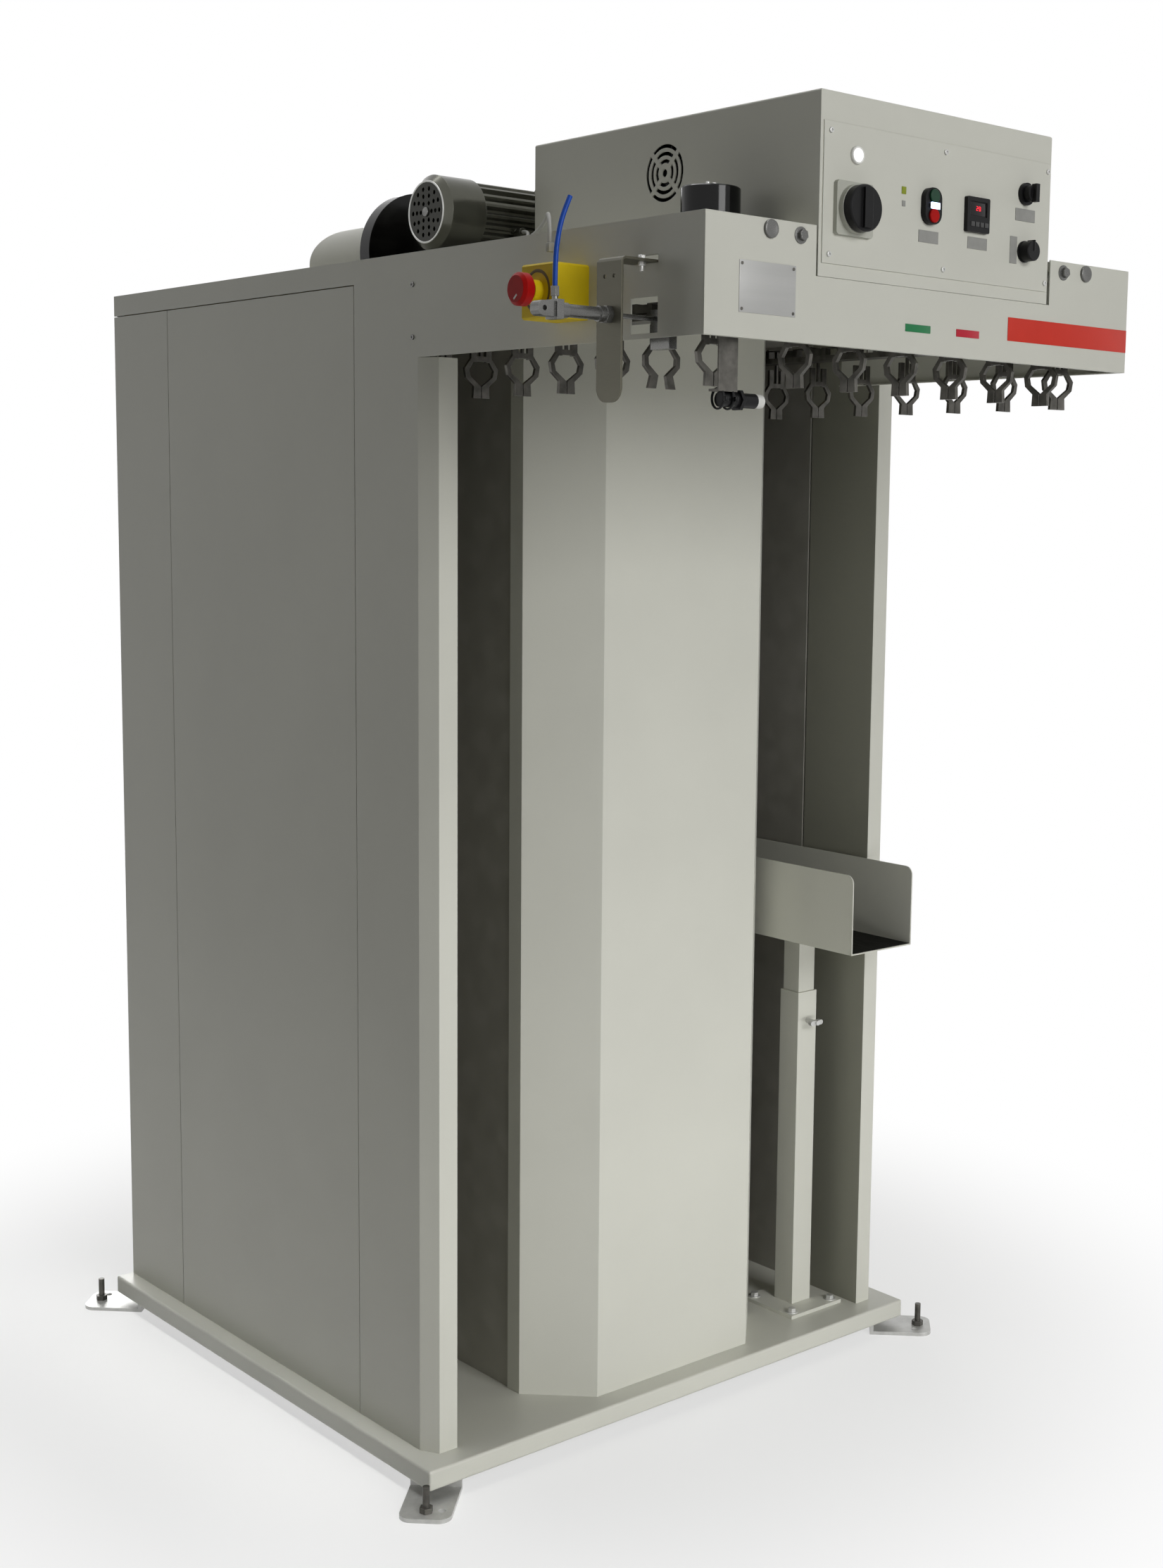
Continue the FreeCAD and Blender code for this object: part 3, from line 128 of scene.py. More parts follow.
def mottled(name, colour, drift, patch_mm, grain_mm, roughness, metallic=0.0, bump=0.1, stretch=(1, 1, 1),
            edge_mm=0.0, edge_wear_and_highlight=0.0, gloss=0.25):
    """Surface whose colour drifts in patches, with a finer grain in its roughness and relief.

    The darker patches are the colour times drift. An edge rounds the light off over that many
    millimetres, and the colour is lightened there, as edge wear and a painted highlight. Gloss is the level
    of the shine of what isn't metal.
    """
    material, tree, place, shader = new_material(name)
    full = [*colour[:3], 1.0]
    dim = [drift * c for c in colour[:3]] + [1.0]
    spot = add(tree, "ShaderNodeMapping", {"Vector": place, "Scale": stretch}).outputs["Vector"]
    patches = add(tree, "ShaderNodeTexNoise", {"Vector": spot, "Scale": 1 / (patch_mm * MM), "Detail": 4.0})
    level = add(tree, "ShaderNodeMapRange", {"Value": patches.outputs["Fac"], **NOISE_RANGE})
    tint = add(tree, "ShaderNodeMix", {0: level.outputs["Result"], 6: dim, 7: full}, data_type="RGBA").outputs[2]
    grain = add(tree, "ShaderNodeTexNoise", {"Vector": spot, "Scale": 1 / (grain_mm * MM), "Detail": 2.0})
    sheen = add(tree, "ShaderNodeMapRange", {"Value": grain.outputs["Fac"], **NOISE_RANGE,
                                             "To Min": 0.85 * roughness, "To Max": min(1.0, 1.15 * roughness)})
    relief = add(tree, "ShaderNodeBump", {"Height": grain.outputs["Fac"], "Strength": bump,
                                          "Distance": 0.2 * grain_mm * MM})
    if edge_mm:
        rounded = add(tree, "ShaderNodeBevel", {"Radius": edge_mm * MM}, samples=4)
        tree.links.new(rounded.outputs["Normal"], relief.inputs["Normal"])
    # Edge wear and a painted highlight: the colour is made paler where the rounded normal turns away from the face's
    # own
    if edge_mm and edge_wear_and_highlight:
        flat = add(tree, "ShaderNodeNewGeometry").outputs["Normal"]
        turn = add(tree, "ShaderNodeVectorMath", {0: rounded.outputs["Normal"], 1: flat}, operation="DOT_PRODUCT")
        rim = add(tree, "ShaderNodeMapRange", {"Value": turn.outputs["Value"], "From Min": 0.99, "From Max": 0.8,
                                               "To Max": edge_wear_and_highlight})
        lift = 1.25 + metallic
        pale = [min(1.0, lift * c) for c in colour[:3]] + [1.0]
        tint = add(tree, "ShaderNodeMix", {0: rim.outputs["Result"], 6: tint, 7: pale}, data_type="RGBA").outputs[2]
    tree.links.new(tint, shader.inputs["Base Color"])
    tree.links.new(sheen.outputs["Result"], shader.inputs["Roughness"])
    tree.links.new(relief.outputs["Normal"], shader.inputs["Normal"])
    shader.inputs["Metallic"].default_value = metallic
    shader.inputs["Specular IOR Level"].default_value = gloss
    return material


def darkened(material, side, colour):
    """The same finish with painted shade: another, darker colour on the faces that look to one side."""
    tree = material.node_tree
    socket = next(node for node in tree.nodes if node.type == "BSDF_PRINCIPLED").inputs["Base Color"]
    flat = add(tree, "ShaderNodeNewGeometry").outputs["Normal"]
    turn = add(tree, "ShaderNodeVectorMath", {0: flat, 1: side}, operation="DOT_PRODUCT")
    share = add(tree, "ShaderNodeMapRange", {"Value": turn.outputs["Value"], "From Min": 0.8, "From Max": 0.95})
    tint = add(tree, "ShaderNodeMix", {0: share.outputs["Result"], 6: socket.links[0].from_socket,
                                       7: linear(colour)}, data_type="RGBA")
    tree.links.new(tint.outputs[2], socket)
    return material


def glowing(name, colour, glow):
    """Lit plastic lens, slightly cloudy."""
    cloud_mm = 6
    material, tree, place, shader = new_material(name)
    cloud = add(tree, "ShaderNodeTexNoise", {"Vector": place, "Scale": 1 / (cloud_mm * MM)})
    level = add(tree, "ShaderNodeMapRange", {"Value": cloud.outputs["Fac"], "To Min": 0.9 * glow,
                                             "To Max": 1.1 * glow})
    tree.links.new(level.outputs["Result"], shader.inputs["Emission Strength"])
    shader.inputs["Base Color"].default_value = linear(colour)
    shader.inputs["Emission Color"].default_value = linear(colour)
    shader.inputs["Roughness"].default_value = 0.2
    return material


def spangled(name, light, dark, spangle_mm, roughness):
    """Zinc-coated sheet with its crystal pattern, blurred by heat."""
    material, tree, place, shader = new_material(name)
    cells = add(tree, "ShaderNodeTexVoronoi", {"Vector": place, "Scale": 1 / (spangle_mm * MM)},
                feature="SMOOTH_F1")
    shade = add(tree, "ShaderNodeSeparateColor", {"Color": cells.outputs["Color"]})
    tint = add(tree, "ShaderNodeMix", {0: shade.outputs["Red"], 6: linear(dark), 7: linear(light)},
               data_type="RGBA")
    level = add(tree, "ShaderNodeMapRange", {"Value": shade.outputs["Green"], "To Min": 0.9 * roughness,
                                             "To Max": 1.1 * roughness})
    tree.links.new(tint.outputs[2], shader.inputs["Base Color"])
    tree.links.new(level.outputs["Result"], shader.inputs["Roughness"])
    shader.inputs["Metallic"].default_value = 0.45
    return material


class OvenSizes(bpy.types.PropertyGroup):
    """Sizes of the small fittings."""

    screw_head: FloatProperty(name="Screw head", description="Width of a panel screw's head",
                              default=7 * MM, unit="LENGTH")
    bolt_flats: FloatProperty(name="Bolt head", description="Width of a header bolt across its flats",
                              default=12 * MM, unit="LENGTH")
    cap_width: FloatProperty(name="Blanking cap", description="Width of a blanking cap",
                             default=22 * MM, unit="LENGTH")
    plate_thickness: FloatProperty(name="Plate thickness", description="Thickness of the bare plates",
                                   default=0.8 * MM, unit="LENGTH")
    digit_height: FloatProperty(name="Digit height", description="Height of the controller's digits",
                                default=5 * MM, unit="LENGTH")
    hose_width: FloatProperty(name="Hose", description="Outside width of the air hose",
                              default=6 * MM, unit="LENGTH")
    cable_width: FloatProperty(name="Cable", description="Outside width of the motor cable",
                               default=5 * MM, unit="LENGTH")
    key_power: FloatProperty(name="Key light", description="Power of the main studio light",
                             default=70.0, unit="POWER")


class OvenColours(bpy.types.PropertyGroup):
    """Colours a user would change."""

    paint: FloatVectorProperty(name="Paint", description="Colour of the powder coat",
                               default=linear("#D4D4CA")[:3], size=3, subtype="COLOR", min=0, max=1)
    stripe: FloatVectorProperty(name="Stripe", description="Colour of the stripe on the header",
                                default=linear("#D0382A")[:3], size=3, subtype="COLOR", min=0, max=1)
    hose: FloatVectorProperty(name="Hose", description="Colour of the air hose",
                              default=linear("#1A4FB4")[:3], size=3, subtype="COLOR", min=0, max=1)
    stop_case: FloatVectorProperty(name="Stop case", description="Colour of the emergency stop's case",
                                   default=linear("#DCC008")[:3], size=3, subtype="COLOR", min=0, max=1)


def sizes():
    return bpy.context.scene.oven_sizes


def colours():
    return bpy.context.scene.oven_colours


def deselect():
    """Leave edit mode, with nothing selected."""
    if bpy.context.object and bpy.context.object.mode != "OBJECT":
        bpy.ops.object.mode_set(mode="OBJECT")
    bpy.ops.object.select_all(action="DESELECT")


def shape_faces(piece, test):
    """Go into edit mode with the faces selected whose middle and normal pass the test."""
    bpy.ops.object.mode_set(mode="EDIT")
    bpy.ops.mesh.select_mode(type="FACE")
    mesh = bmesh.from_edit_mesh(piece.data)
    for face in mesh.faces:
        face.select_set(test(face.calc_center_median(), face.normal))
    mesh.select_flush_mode()
    bmesh.update_edit_mesh(piece.data)


def any_face(middle, normal):
    return True


def top_face(middle, normal):
    return normal.z > SQUARE


def facing(point, direction, turn=0.0):
    """Place at a point with its own Z along a direction, turned about it by radians."""
    spin = Matrix.Rotation(turn, 4, "Z")
    return Matrix.Translation(point) @ Vector(direction).to_track_quat("Z", "Y").to_matrix().to_4x4() @ spin


def spread(pattern, places, name):
    """Copies of a pattern at each place, each with its own mesh, joined at the origin."""
    copies = []
    for place in places:
        copy = pattern.copy()
        copy.data = pattern.data.copy()
        bpy.context.collection.objects.link(copy)
        copy.matrix_world = place
        copies.append(copy)
    bpy.data.objects.remove(pattern)
    return joined(copies, name)


def joined(parts, name):
    """One piece at the origin from one or more objects."""
    deselect()
    for part in parts:
        part.select_set(True)
    bpy.context.view_layer.objects.active = parts[0]
    if len(parts) > 1:
        bpy.ops.object.join()
    piece = bpy.context.object
    bpy.ops.object.transform_apply(location=True, rotation=True, scale=True)
    piece.name = name
    return piece


def dressed(piece, material, body="cabinet"):
    """Give a finished piece its material and the body that it moves with."""
    deselect()
    piece.select_set(True)
    bpy.context.view_layer.objects.active = piece
    bpy.ops.object.shade_smooth_by_angle(angle=math.radians(35))
    piece.data.materials.clear()
    piece.data.materials.append(material)
    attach(piece, body)
    return piece


def slab(low, high, edge):
    """Block between two corners with its edges rounded."""
    deselect()
    low = Vector(low)
    high = Vector(high)
    bpy.ops.mesh.primitive_cube_add(size=1, location=(low + high) / 2)
    piece = bpy.context.object
    piece.scale = high - low
    bpy.ops.object.transform_apply(location=True, rotation=True, scale=True)
    shape_faces(piece, any_face)
    bpy.ops.mesh.bevel(offset=edge, segments=2, affect="EDGES")
    bpy.ops.object.mode_set(mode="OBJECT")
    return piece


def blank(sides, radius, height, base=0.0):
    """Upright round bar or prism whose lower end is at a level."""
    deselect()
    bpy.ops.mesh.primitive_cylinder_add(vertices=sides, radius=radius, depth=height,
                                        location=(0, 0, base + height / 2))
    bpy.ops.object.transform_apply(location=True, rotation=True, scale=True)
    return bpy.context.object


def eased(piece, edge, segments):
    """Round the edge of a blank's upper end."""
    shape_faces(piece, top_face)
    bpy.ops.mesh.bevel(offset=edge, segments=segments, affect="EDGES")
    bpy.ops.object.mode_set(mode="OBJECT")
    return piece


def shape_crown(piece, height):
    """Go into edit mode with the flat selected that is left on top of an eased blank."""
    shape_faces(piece, lambda middle, normal: normal.z > SQUARE and middle.z > 0.99 * height)


def hexagon(flats, height, base=0.0):
    """Hexagon of a nut or bolt head with its upper edge chamfered."""
    piece = blank(sides=6, radius=flats / math.sqrt(3), height=height, base=base)
    shape_faces(piece, top_face)
    bpy.ops.mesh.inset(thickness=0.06 * flats, depth=0.05 * flats)
    bpy.ops.object.mode_set(mode="OBJECT")
    return piece


def cross_screw(width):
    """Pan-head screw with a sunk drive, standing on Z = 0."""
    height = 0.35 * width
    drive_depth = 0.18 * width
    piece = eased(blank(sides=24, radius=width / 2, height=height), edge=0.12 * width, segments=3)
    shape_crown(piece, height)
    bpy.ops.mesh.inset(thickness=0.16 * width)
    bpy.ops.mesh.extrude_region_move(TRANSFORM_OT_translate={"value": (0, 0, -drive_depth)})
    bpy.ops.object.mode_set(mode="OBJECT")
    return piece


def hex_bolt(flats):
    """Hexagon bolt head on its washer, standing on Z = 0."""
    washer = 0.12 * flats
    ring = eased(blank(sides=32, radius=0.85 * flats, height=washer), edge=0.03 * flats, segments=2)
    head = hexagon(flats, height=0.45 * flats, base=washer)
    return joined([ring, head], "bolt_pattern")


def stud_nut(flats, reach):
    """Hexagon nut with the end of its stud, standing on Z = 0."""
    height = 0.5 * flats
    nut = hexagon(flats, height)
    stud = eased(blank(sides=20, radius=0.34 * flats, height=reach, base=height), edge=0.07 * flats,
                 segments=2)
    return joined([nut, stud], "nut_pattern")


def blanking_cap(width):
    """Pressed round cap with a rolled rim, standing on Z = 0."""
    height = 0.18 * width
    piece = eased(blank(sides=40, radius=width / 2, height=height), edge=0.07 * width, segments=4)
    shape_crown(piece, height)
    bpy.ops.mesh.inset(thickness=0.08 * width, depth=-0.03 * width)
    bpy.ops.object.mode_set(mode="OBJECT")
    return piece


def flat_ring(radius, wire, flatness, segments, wire_segments):
    """Ring about Z of a round wire that is pressed flat."""
    deselect()
    bpy.ops.mesh.primitive_torus_add(major_segments=segments, minor_segments=wire_segments, major_radius=radius,
                                     minor_radius=wire)
    ring = bpy.context.object
    shape_faces(ring, any_face)
    bpy.ops.transform.resize(value=(1, 1, flatness))
    bpy.ops.object.mode_set(mode="OBJECT")
    return ring


def build_finishes():
    """Materials by the record's slots, and those of the added pieces.

    Most real grains are finer. They are drawn at 0.4 mm or more, so that a close view shows them.
    """
    return {
        # Polyester powder coat: cream, fine orange peel, soft sheen, paler along its folds as wear and a painted
        # highlight
        "cream_paint": mottled("cream_powder_coat", colours().paint, drift=0.95, patch_mm=240, grain_mm=1.6,
                               roughness=0.4, edge_mm=1.2, edge_wear_and_highlight=0.5, gloss=0.35),
        # The same coat on the tray, with a wide painted highlight over its rolled edges
        "tray_paint": mottled("rolled_edge_powder_coat", colours().paint, drift=0.95, patch_mm=240, grain_mm=1.6,
                              roughness=0.34, edge_mm=5.0, edge_wear_and_highlight=1.0, gloss=0.5),
        # The same coat, with painted shade on the faces that look left, into the slot
        "left_shaded_paint": darkened(mottled("left_shaded_powder_coat", colours().paint, drift=0.95, patch_mm=240,
                                          grain_mm=1.6, roughness=0.4, edge_mm=1.2, edge_wear_and_highlight=0.5, gloss=0.35),
                                  LEFT, "#96968A"),
        # Hot-dip galvanised sheet, dulled and browned by heat
        "galvanised_sheet": spangled("heat_dulled_galvanised_sheet", "#B0AEA6", "#A4A299", spangle_mm=30,
                                     roughness=0.6),
        # Mineral wool: matt tangled fibre
        "mineral_wool": mottled("mineral_wool", linear("#C2AE72"), drift=0.55, patch_mm=22, grain_mm=1.2,
                                roughness=0.95, bump=0.8),
        # Bright zinc plate over turned steel: pale, with a soft glint
        "plated_steel": mottled("zinc_plated_steel", linear("#CBCBC8"), drift=0.85, patch_mm=12, grain_mm=0.6,
                                roughness=0.4, metallic=0.55, bump=0.08, edge_mm=0.5, edge_wear_and_highlight=0.6),
        # Oiled black-oxide steel with a grey bloom, and rubbed edges made paler as wear and a painted highlight
        "dark_steel": mottled("black_oxide_steel", linear("#63615C"), drift=0.5, patch_mm=16, grain_mm=0.9,
                              roughness=0.42, metallic=0.8, bump=0.12, edge_mm=0.6, edge_wear_and_highlight=0.8),
        # Rolled stainless sheet, grain along its length
        "stainless_sheet": mottled("rolled_stainless", linear("#5E5C50"), drift=0.8, patch_mm=60, grain_mm=0.8,
                                   roughness=0.42, metallic=0.55, stretch=(1, 0.06, 1), edge_mm=1.0, edge_wear_and_highlight=0.8),
        # Hard-anodised aluminium tube, dark grey with a long glint
        "anodised": mottled("hard_anodised_aluminium", linear("#6E6E6C"), drift=0.8, patch_mm=30, grain_mm=0.7,
                            roughness=0.28, metallic=0.75, bump=0.06, edge_mm=0.5, edge_wear_and_highlight=0.6),
        # Die-cast aluminium, lacquered: a grainy skin with sharp glints
        "motor_aluminium": mottled("die_cast_aluminium", linear("#5E5E56"), drift=0.8, patch_mm=18, grain_mm=1.0,
                                   roughness=0.24, metallic=0.8, edge_mm=0.8, edge_wear_and_highlight=0.6),
        # Pressed steel cowl in the same lacquer, with painted shade on its face that looks left, for the dark seen
        # through its air holes
        "cowl_steel": darkened(mottled("lacquered_pressed_steel", linear("#5A5A52"), drift=0.85, patch_mm=30,
                                       grain_mm=1.0, roughness=0.22, metallic=0.8, bump=0.06, edge_mm=0.8,
                                       edge_wear_and_highlight=0.6), LEFT, "#2C2C28"),
        # Black enamel, glossy
        "black_paint": mottled("black_enamel", linear("#101010"), drift=0.7, patch_mm=60, grain_mm=2.0,
                               roughness=0.1, bump=0.03, edge_mm=1.0, gloss=0.22),
        # Moulded ABS, fine spark-eroded grain
        "black_plastic": mottled("black_abs", linear("#161617"), drift=0.7, patch_mm=20, grain_mm=0.5,
                                 roughness=0.36, edge_mm=0.6, gloss=0.15),
        "grey_plastic": mottled("grey_abs", linear("#A9A9A4"), drift=0.9, patch_mm=30, grain_mm=0.5,
                                roughness=0.5, edge_mm=0.6),
        # Black matt sheet with fine ribs
        "rubber": mottled("black_rubber", linear("#1A1A17"), drift=0.75, patch_mm=14, grain_mm=1.2,
                          roughness=0.8, bump=0.3, stretch=(1, 0.05, 1), gloss=0.1),
        # Silicone rubber keys, dull
        "key_rubber": mottled("dark_silicone_rubber", linear("#4A4A4A"), drift=0.85, patch_mm=6, grain_mm=0.4,
                              roughness=0.6, bump=0.05),
        # Polycarbonate mouldings in signal colours
        "yellow_plastic": mottled("yellow_polycarbonate", colours().stop_case, drift=0.9, patch_mm=40,
                                  grain_mm=0.7, roughness=0.5, bump=0.08, edge_mm=1.0, edge_wear_and_highlight=0.3),
        "red_plastic": mottled("red_polycarbonate", linear("#B01210"), drift=0.85, patch_mm=20, grain_mm=0.7,
                               roughness=0.38, bump=0.05, edge_mm=1.0, gloss=0.1),
        "green_plastic": mottled("green_polycarbonate", linear("#0C3C26"), drift=0.85, patch_mm=20, grain_mm=0.7,
                                 roughness=0.35, bump=0.05, edge_mm=0.6),
        # Polyurethane tube, a little waxy
        "blue_hose": mottled("blue_polyurethane", colours().hose, drift=0.85, patch_mm=10, grain_mm=0.8,
                             roughness=0.3, bump=0.04, gloss=0.15),
        # PVC cable sheath, smooth and matt
        "cable_sheath": mottled("pale_grey_pvc", linear("#B4B4B0"), drift=0.9, patch_mm=12, grain_mm=0.8,
                                roughness=0.5, bump=0.05),
        # Primed pressed steel, flat grey
        "impeller_steel": mottled("primed_steel", linear("#6A6A68"), drift=0.8, patch_mm=24, grain_mm=1.0,
                                  roughness=0.6),
        # Etched aluminium plate, brushed along X
        "plate": mottled("etched_aluminium", linear("#B2B2B0"), drift=0.92, patch_mm=20, grain_mm=0.5,
                         roughness=0.5, metallic=0.25, bump=0.08, stretch=(0.08, 1, 1)),
        # Engraved grey laminate
        "tag": mottled("grey_laminate", linear("#9A9A96"), drift=0.9, patch_mm=12, grain_mm=0.5,
                       roughness=0.55, bump=0.06),
        # Pale moulded thermoplastics
        "pale_plastic": mottled("pale_grey_thermoplastic", linear("#B9BAB0"), drift=0.94, patch_mm=30,
                                grain_mm=0.5, roughness=0.4, bump=0.08, edge_mm=0.8),
        "white_plastic": mottled("white_polyamide", linear("#E6E6E2"), drift=0.92, patch_mm=10, grain_mm=0.5,
                                 roughness=0.45, bump=0.08),
        # Cast vinyl film, smooth with a faint sheen
        "stripe": mottled("red_vinyl_film", colours().stripe, drift=0.93, patch_mm=40, grain_mm=1.2,
                          roughness=0.55, bump=0.04),
        "green_film": mottled("green_vinyl_film", linear("#1E7A48"), drift=0.9, patch_mm=30, grain_mm=1.2,
                              roughness=0.35, bump=0.04),
        "crimson_film": mottled("crimson_vinyl_film", linear("#C02438"), drift=0.9, patch_mm=30, grain_mm=1.2,
                                roughness=0.35, bump=0.04),
        "lime_film": mottled("lime_vinyl_film", linear("#8E9A2C"), drift=0.85, patch_mm=8, grain_mm=0.8,
                             roughness=0.4, bump=0.04),
        # Dark polished acrylic over the display
        "dark_glass": mottled("smoked_acrylic", linear("#1B1517"), drift=0.8, patch_mm=20, grain_mm=2.0,
                              roughness=0.08, bump=0.02),
        # Lenses lit from behind
        "lit_white": glowing("lit_white_lens", "#FFFFFF", glow=1.6),
        "lit_blue": glowing("lit_blue_white_lens", "#DCE8FF", glow=1.4),
        "digits": glowing("red_led_digits", "#F02034", glow=1.3),
        # Screen-printed ink, flat
        "ink": mottled("dark_brown_ink", linear("#4A3A12"), drift=0.8, patch_mm=6, grain_mm=0.4,
                       roughness=0.6, bump=0.02),
    }


# Filled by the step that gives the solids their finishes
finishes = {}


class OVEN_OT_stage(bpy.types.Operator):
    """Floor, soft studio light and the camera at the photograph's angle"""

    bl_idname = "oven.stage"
    bl_label = "Stage"

    def seen(self, tree):
        """1 for a ray from the camera, straight or by way of metal or glass."""
        path = add(tree, "ShaderNodeLightPath").outputs
        direct = add(tree, "ShaderNodeMath", {0: path["Is Camera Ray"], 1: path["Is Glossy Ray"]},
                     operation="MAXIMUM")
        through = add(tree, "ShaderNodeMath", {0: direct.outputs[0], 1: path["Is Transmission Ray"]},
                      operation="MAXIMUM")
        return through.outputs[0]

    def floor(self):
        """Pale floor that keeps the shadow near the machine and fades to white away from it."""
        deselect()
        bpy.ops.mesh.primitive_plane_add(size=60)
        floor = bpy.context.object
        floor.name = "studio_floor"
        material = bpy.data.materials.new("pale_floor")
        tree = emptied(material)
        place = add(tree, "ShaderNodeTexCoord").outputs["Object"]
        reach = add(tree, "ShaderNodeVectorMath", {0: place}, operation="LENGTH")
        fade = add(tree, "ShaderNodeMapRange", {"Value": reach.outputs["Value"], "From Min": 0.55, "From Max": 1.5,
                                                "To Min": 0.6, "To Max": 1.0}, interpolation_type="SMOOTHSTEP")
        part = add(tree, "ShaderNodeMath", {0: self.seen(tree), 1: fade.outputs["Result"]}, operation="MULTIPLY")
        shade = add(tree, "ShaderNodeBsdfDiffuse", {"Color": linear("#F2F2F0")})
        white = add(tree, "ShaderNodeEmission", {"Color": linear("#FFFFFF"), "Strength": 1.0})
        mixed = add(tree, "ShaderNodeMixShader", {0: part.outputs[0], 1: shade.outputs[0], 2: white.outputs[0]})
        add(tree, "ShaderNodeOutputMaterial", {"Surface": mixed.outputs[0]})
        floor.data.materials.append(material)

    def world(self):
        """Dim soft light all round, white where the camera sees it."""
        world = bpy.data.worlds.new("studio")
        bpy.context.scene.world = world
        tree = emptied(world)
        soft = add(tree, "ShaderNodeBackground", {"Color": linear("#F4F0C8"), "Strength": 0.015})
        white = add(tree, "ShaderNodeBackground", {"Color": linear("#FFFFFF"), "Strength": 1.0})
        mixed = add(tree, "ShaderNodeMixShader", {0: self.seen(tree), 1: soft.outputs[0], 2: white.outputs[0]})
        add(tree, "ShaderNodeOutputWorld", {"Surface": mixed.outputs[0]})

    def lamps(self):
        """A broad key in front, a low fill before it, and lamps over, behind, to both sides and on the ledge."""
        key = sizes().key_power
        # Name, place, aim, width, height, beam in degrees, power
        lamps = (
            ("key", (-0.2, -4.3, 2.5), (0.0, -0.6, 1.1), 1.6, 1.6, 180, key),
            ("fill", (0.1, -2.6, 0.3), (0.0, -0.5, 0.3), 1.6, 0.3, 80, 0.06 * key),
            ("left", (-4.0, 3.2, 1.3), (-0.4, 0.0, 0.8), 1.8, 1.8, 180, 0.11 * key),
            ("ledge", (-0.62, 0.1, 1.5), (-0.57, 0.1, 0.0), 1.2, 0.06, 20, 0.0045 * key),
            ("top", (-0.55, 0.2, 4.3), (-0.55, 0.2, 0.0), 0.8, 2.4, 180, 0.45 * key),
            ("back", (1.6, 5.0, 2.0), (0.0, 0.4, 1.0), 2.4, 2.4, 180, 1.1 * key),
            ("right", (5.0, -0.6, 1.8), (0.4, 0.0, 1.0), 2.4, 2.4, 180, 0.47 * key),
        )
        for name, place, aim, width, height, beam, power in lamps:
            light = bpy.data.lights.new(name + "_light", "AREA")
            light.energy = power
            light.shape = "RECTANGLE"
            light.size = width
            light.size_y = height
            light.spread = math.radians(beam)
            lamp = bpy.data.objects.new(name + "_light", light)
            lamp.visible_camera = False
            bpy.context.collection.objects.link(lamp)
            lamp.location = place
            lamp.rotation_euler = (Vector(aim) - Vector(place)).to_track_quat("-Z", "Y").to_euler()

    def camera(self):
        """Camera at the photograph's place, with the frame's shift."""
        yaw, pitch, roll = math.radians(YAW), math.radians(PITCH), math.radians(ROLL)
        ahead = Vector((math.sin(yaw) * math.cos(pitch), math.cos(yaw) * math.cos(pitch), math.sin(pitch)))
        level = Vector((math.cos(yaw), -math.sin(yaw), 0))
        upright = level.cross(ahead)
        right = math.cos(roll) * level + math.sin(roll) * upright
        up = math.cos(roll) * upright - math.sin(roll) * level
        lens = bpy.data.cameras.new("photo_camera")
        lens.lens = SENSOR_MM * FOCAL_LENGTH / PHOTO_HEIGHT
        lens.shift_x = SHIFT_X / PHOTO_HEIGHT
        lens.shift_y = SHIFT_Y / PHOTO_HEIGHT
        camera = bpy.data.objects.new("photo_camera", lens)
        bpy.context.collection.objects.link(camera)
        turned = Matrix((right, up, -ahead)).transposed().to_4x4()
        camera.matrix_world = Matrix.Translation(CAMERA_PLACE) @ turned
        bpy.context.scene.camera = camera

    def execute(self, context):
        self.floor()
        self.world()
        self.lamps()
        self.camera()
        context.scene.view_settings.view_transform = "Standard"
        return {"FINISHED"}


class OVEN_OT_finishes(bpy.types.Operator):
    """Give every solid of the frame its own finish or that of its slot"""

    bl_idname = "oven.finishes"
    bl_label = "Finishes"

    def execute(self, context):
        finishes.update(build_finishes())
        for part in frame["record"]["subparts"]:
            name = part["node"]
            solid = frame["nodes"][name]
            solid.data.materials.clear()
            solid.data.materials.append(finishes[OWN_FINISH.get(name, part["material_slot"])])
        return {"FINISHED"}


def flexible(name, route, width, material):
    """Round flexible line whose smooth curve follows the route's points."""
    deselect()
    curve = bpy.data.curves.new(name + "_line", "CURVE")
    curve.dimensions = "3D"
    spline = curve.splines.new("NURBS")
    spline.points.add(len(route) - 1)
    for point, place in zip(spline.points, route):
        point.co = (*place, 1.0)
    spline.order_u = 3
    spline.use_endpoint_u = True
    spline.resolution_u = 16
    curve.bevel_depth = width / 2
    curve.bevel_resolution = 6
    curve.use_fill_caps = True
    piece = bpy.data.objects.new(name, curve)
    bpy.context.collection.objects.link(piece)
    curve.materials.append(material)
    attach(piece, "cabinet")
    return piece


class OVEN_OT_air_hose(bpy.types.Operator):
    """Blue air hose standing up from the opener's fitting to its open end"""

    bl_idname = "oven.air_hose"
    bl_label = "Air hose"

    def execute(self, context):
        low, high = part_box("air_hose")
        width = sizes().hose_width
        x = low.x + width / 2
        y = (low.y + high.y) / 2
        lean_and_rise_mm = ((0, 0), (0, 30), (4, 58), (11, 82), (21, 102))
        route = [(x + lean * MM, y, low.z + rise * MM) for lean, rise in lean_and_rise_mm]
        hose = flexible("blue_air_hose", route, width, finishes["blue_hose"])
        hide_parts("air_hose")
        return {"FINISHED"}


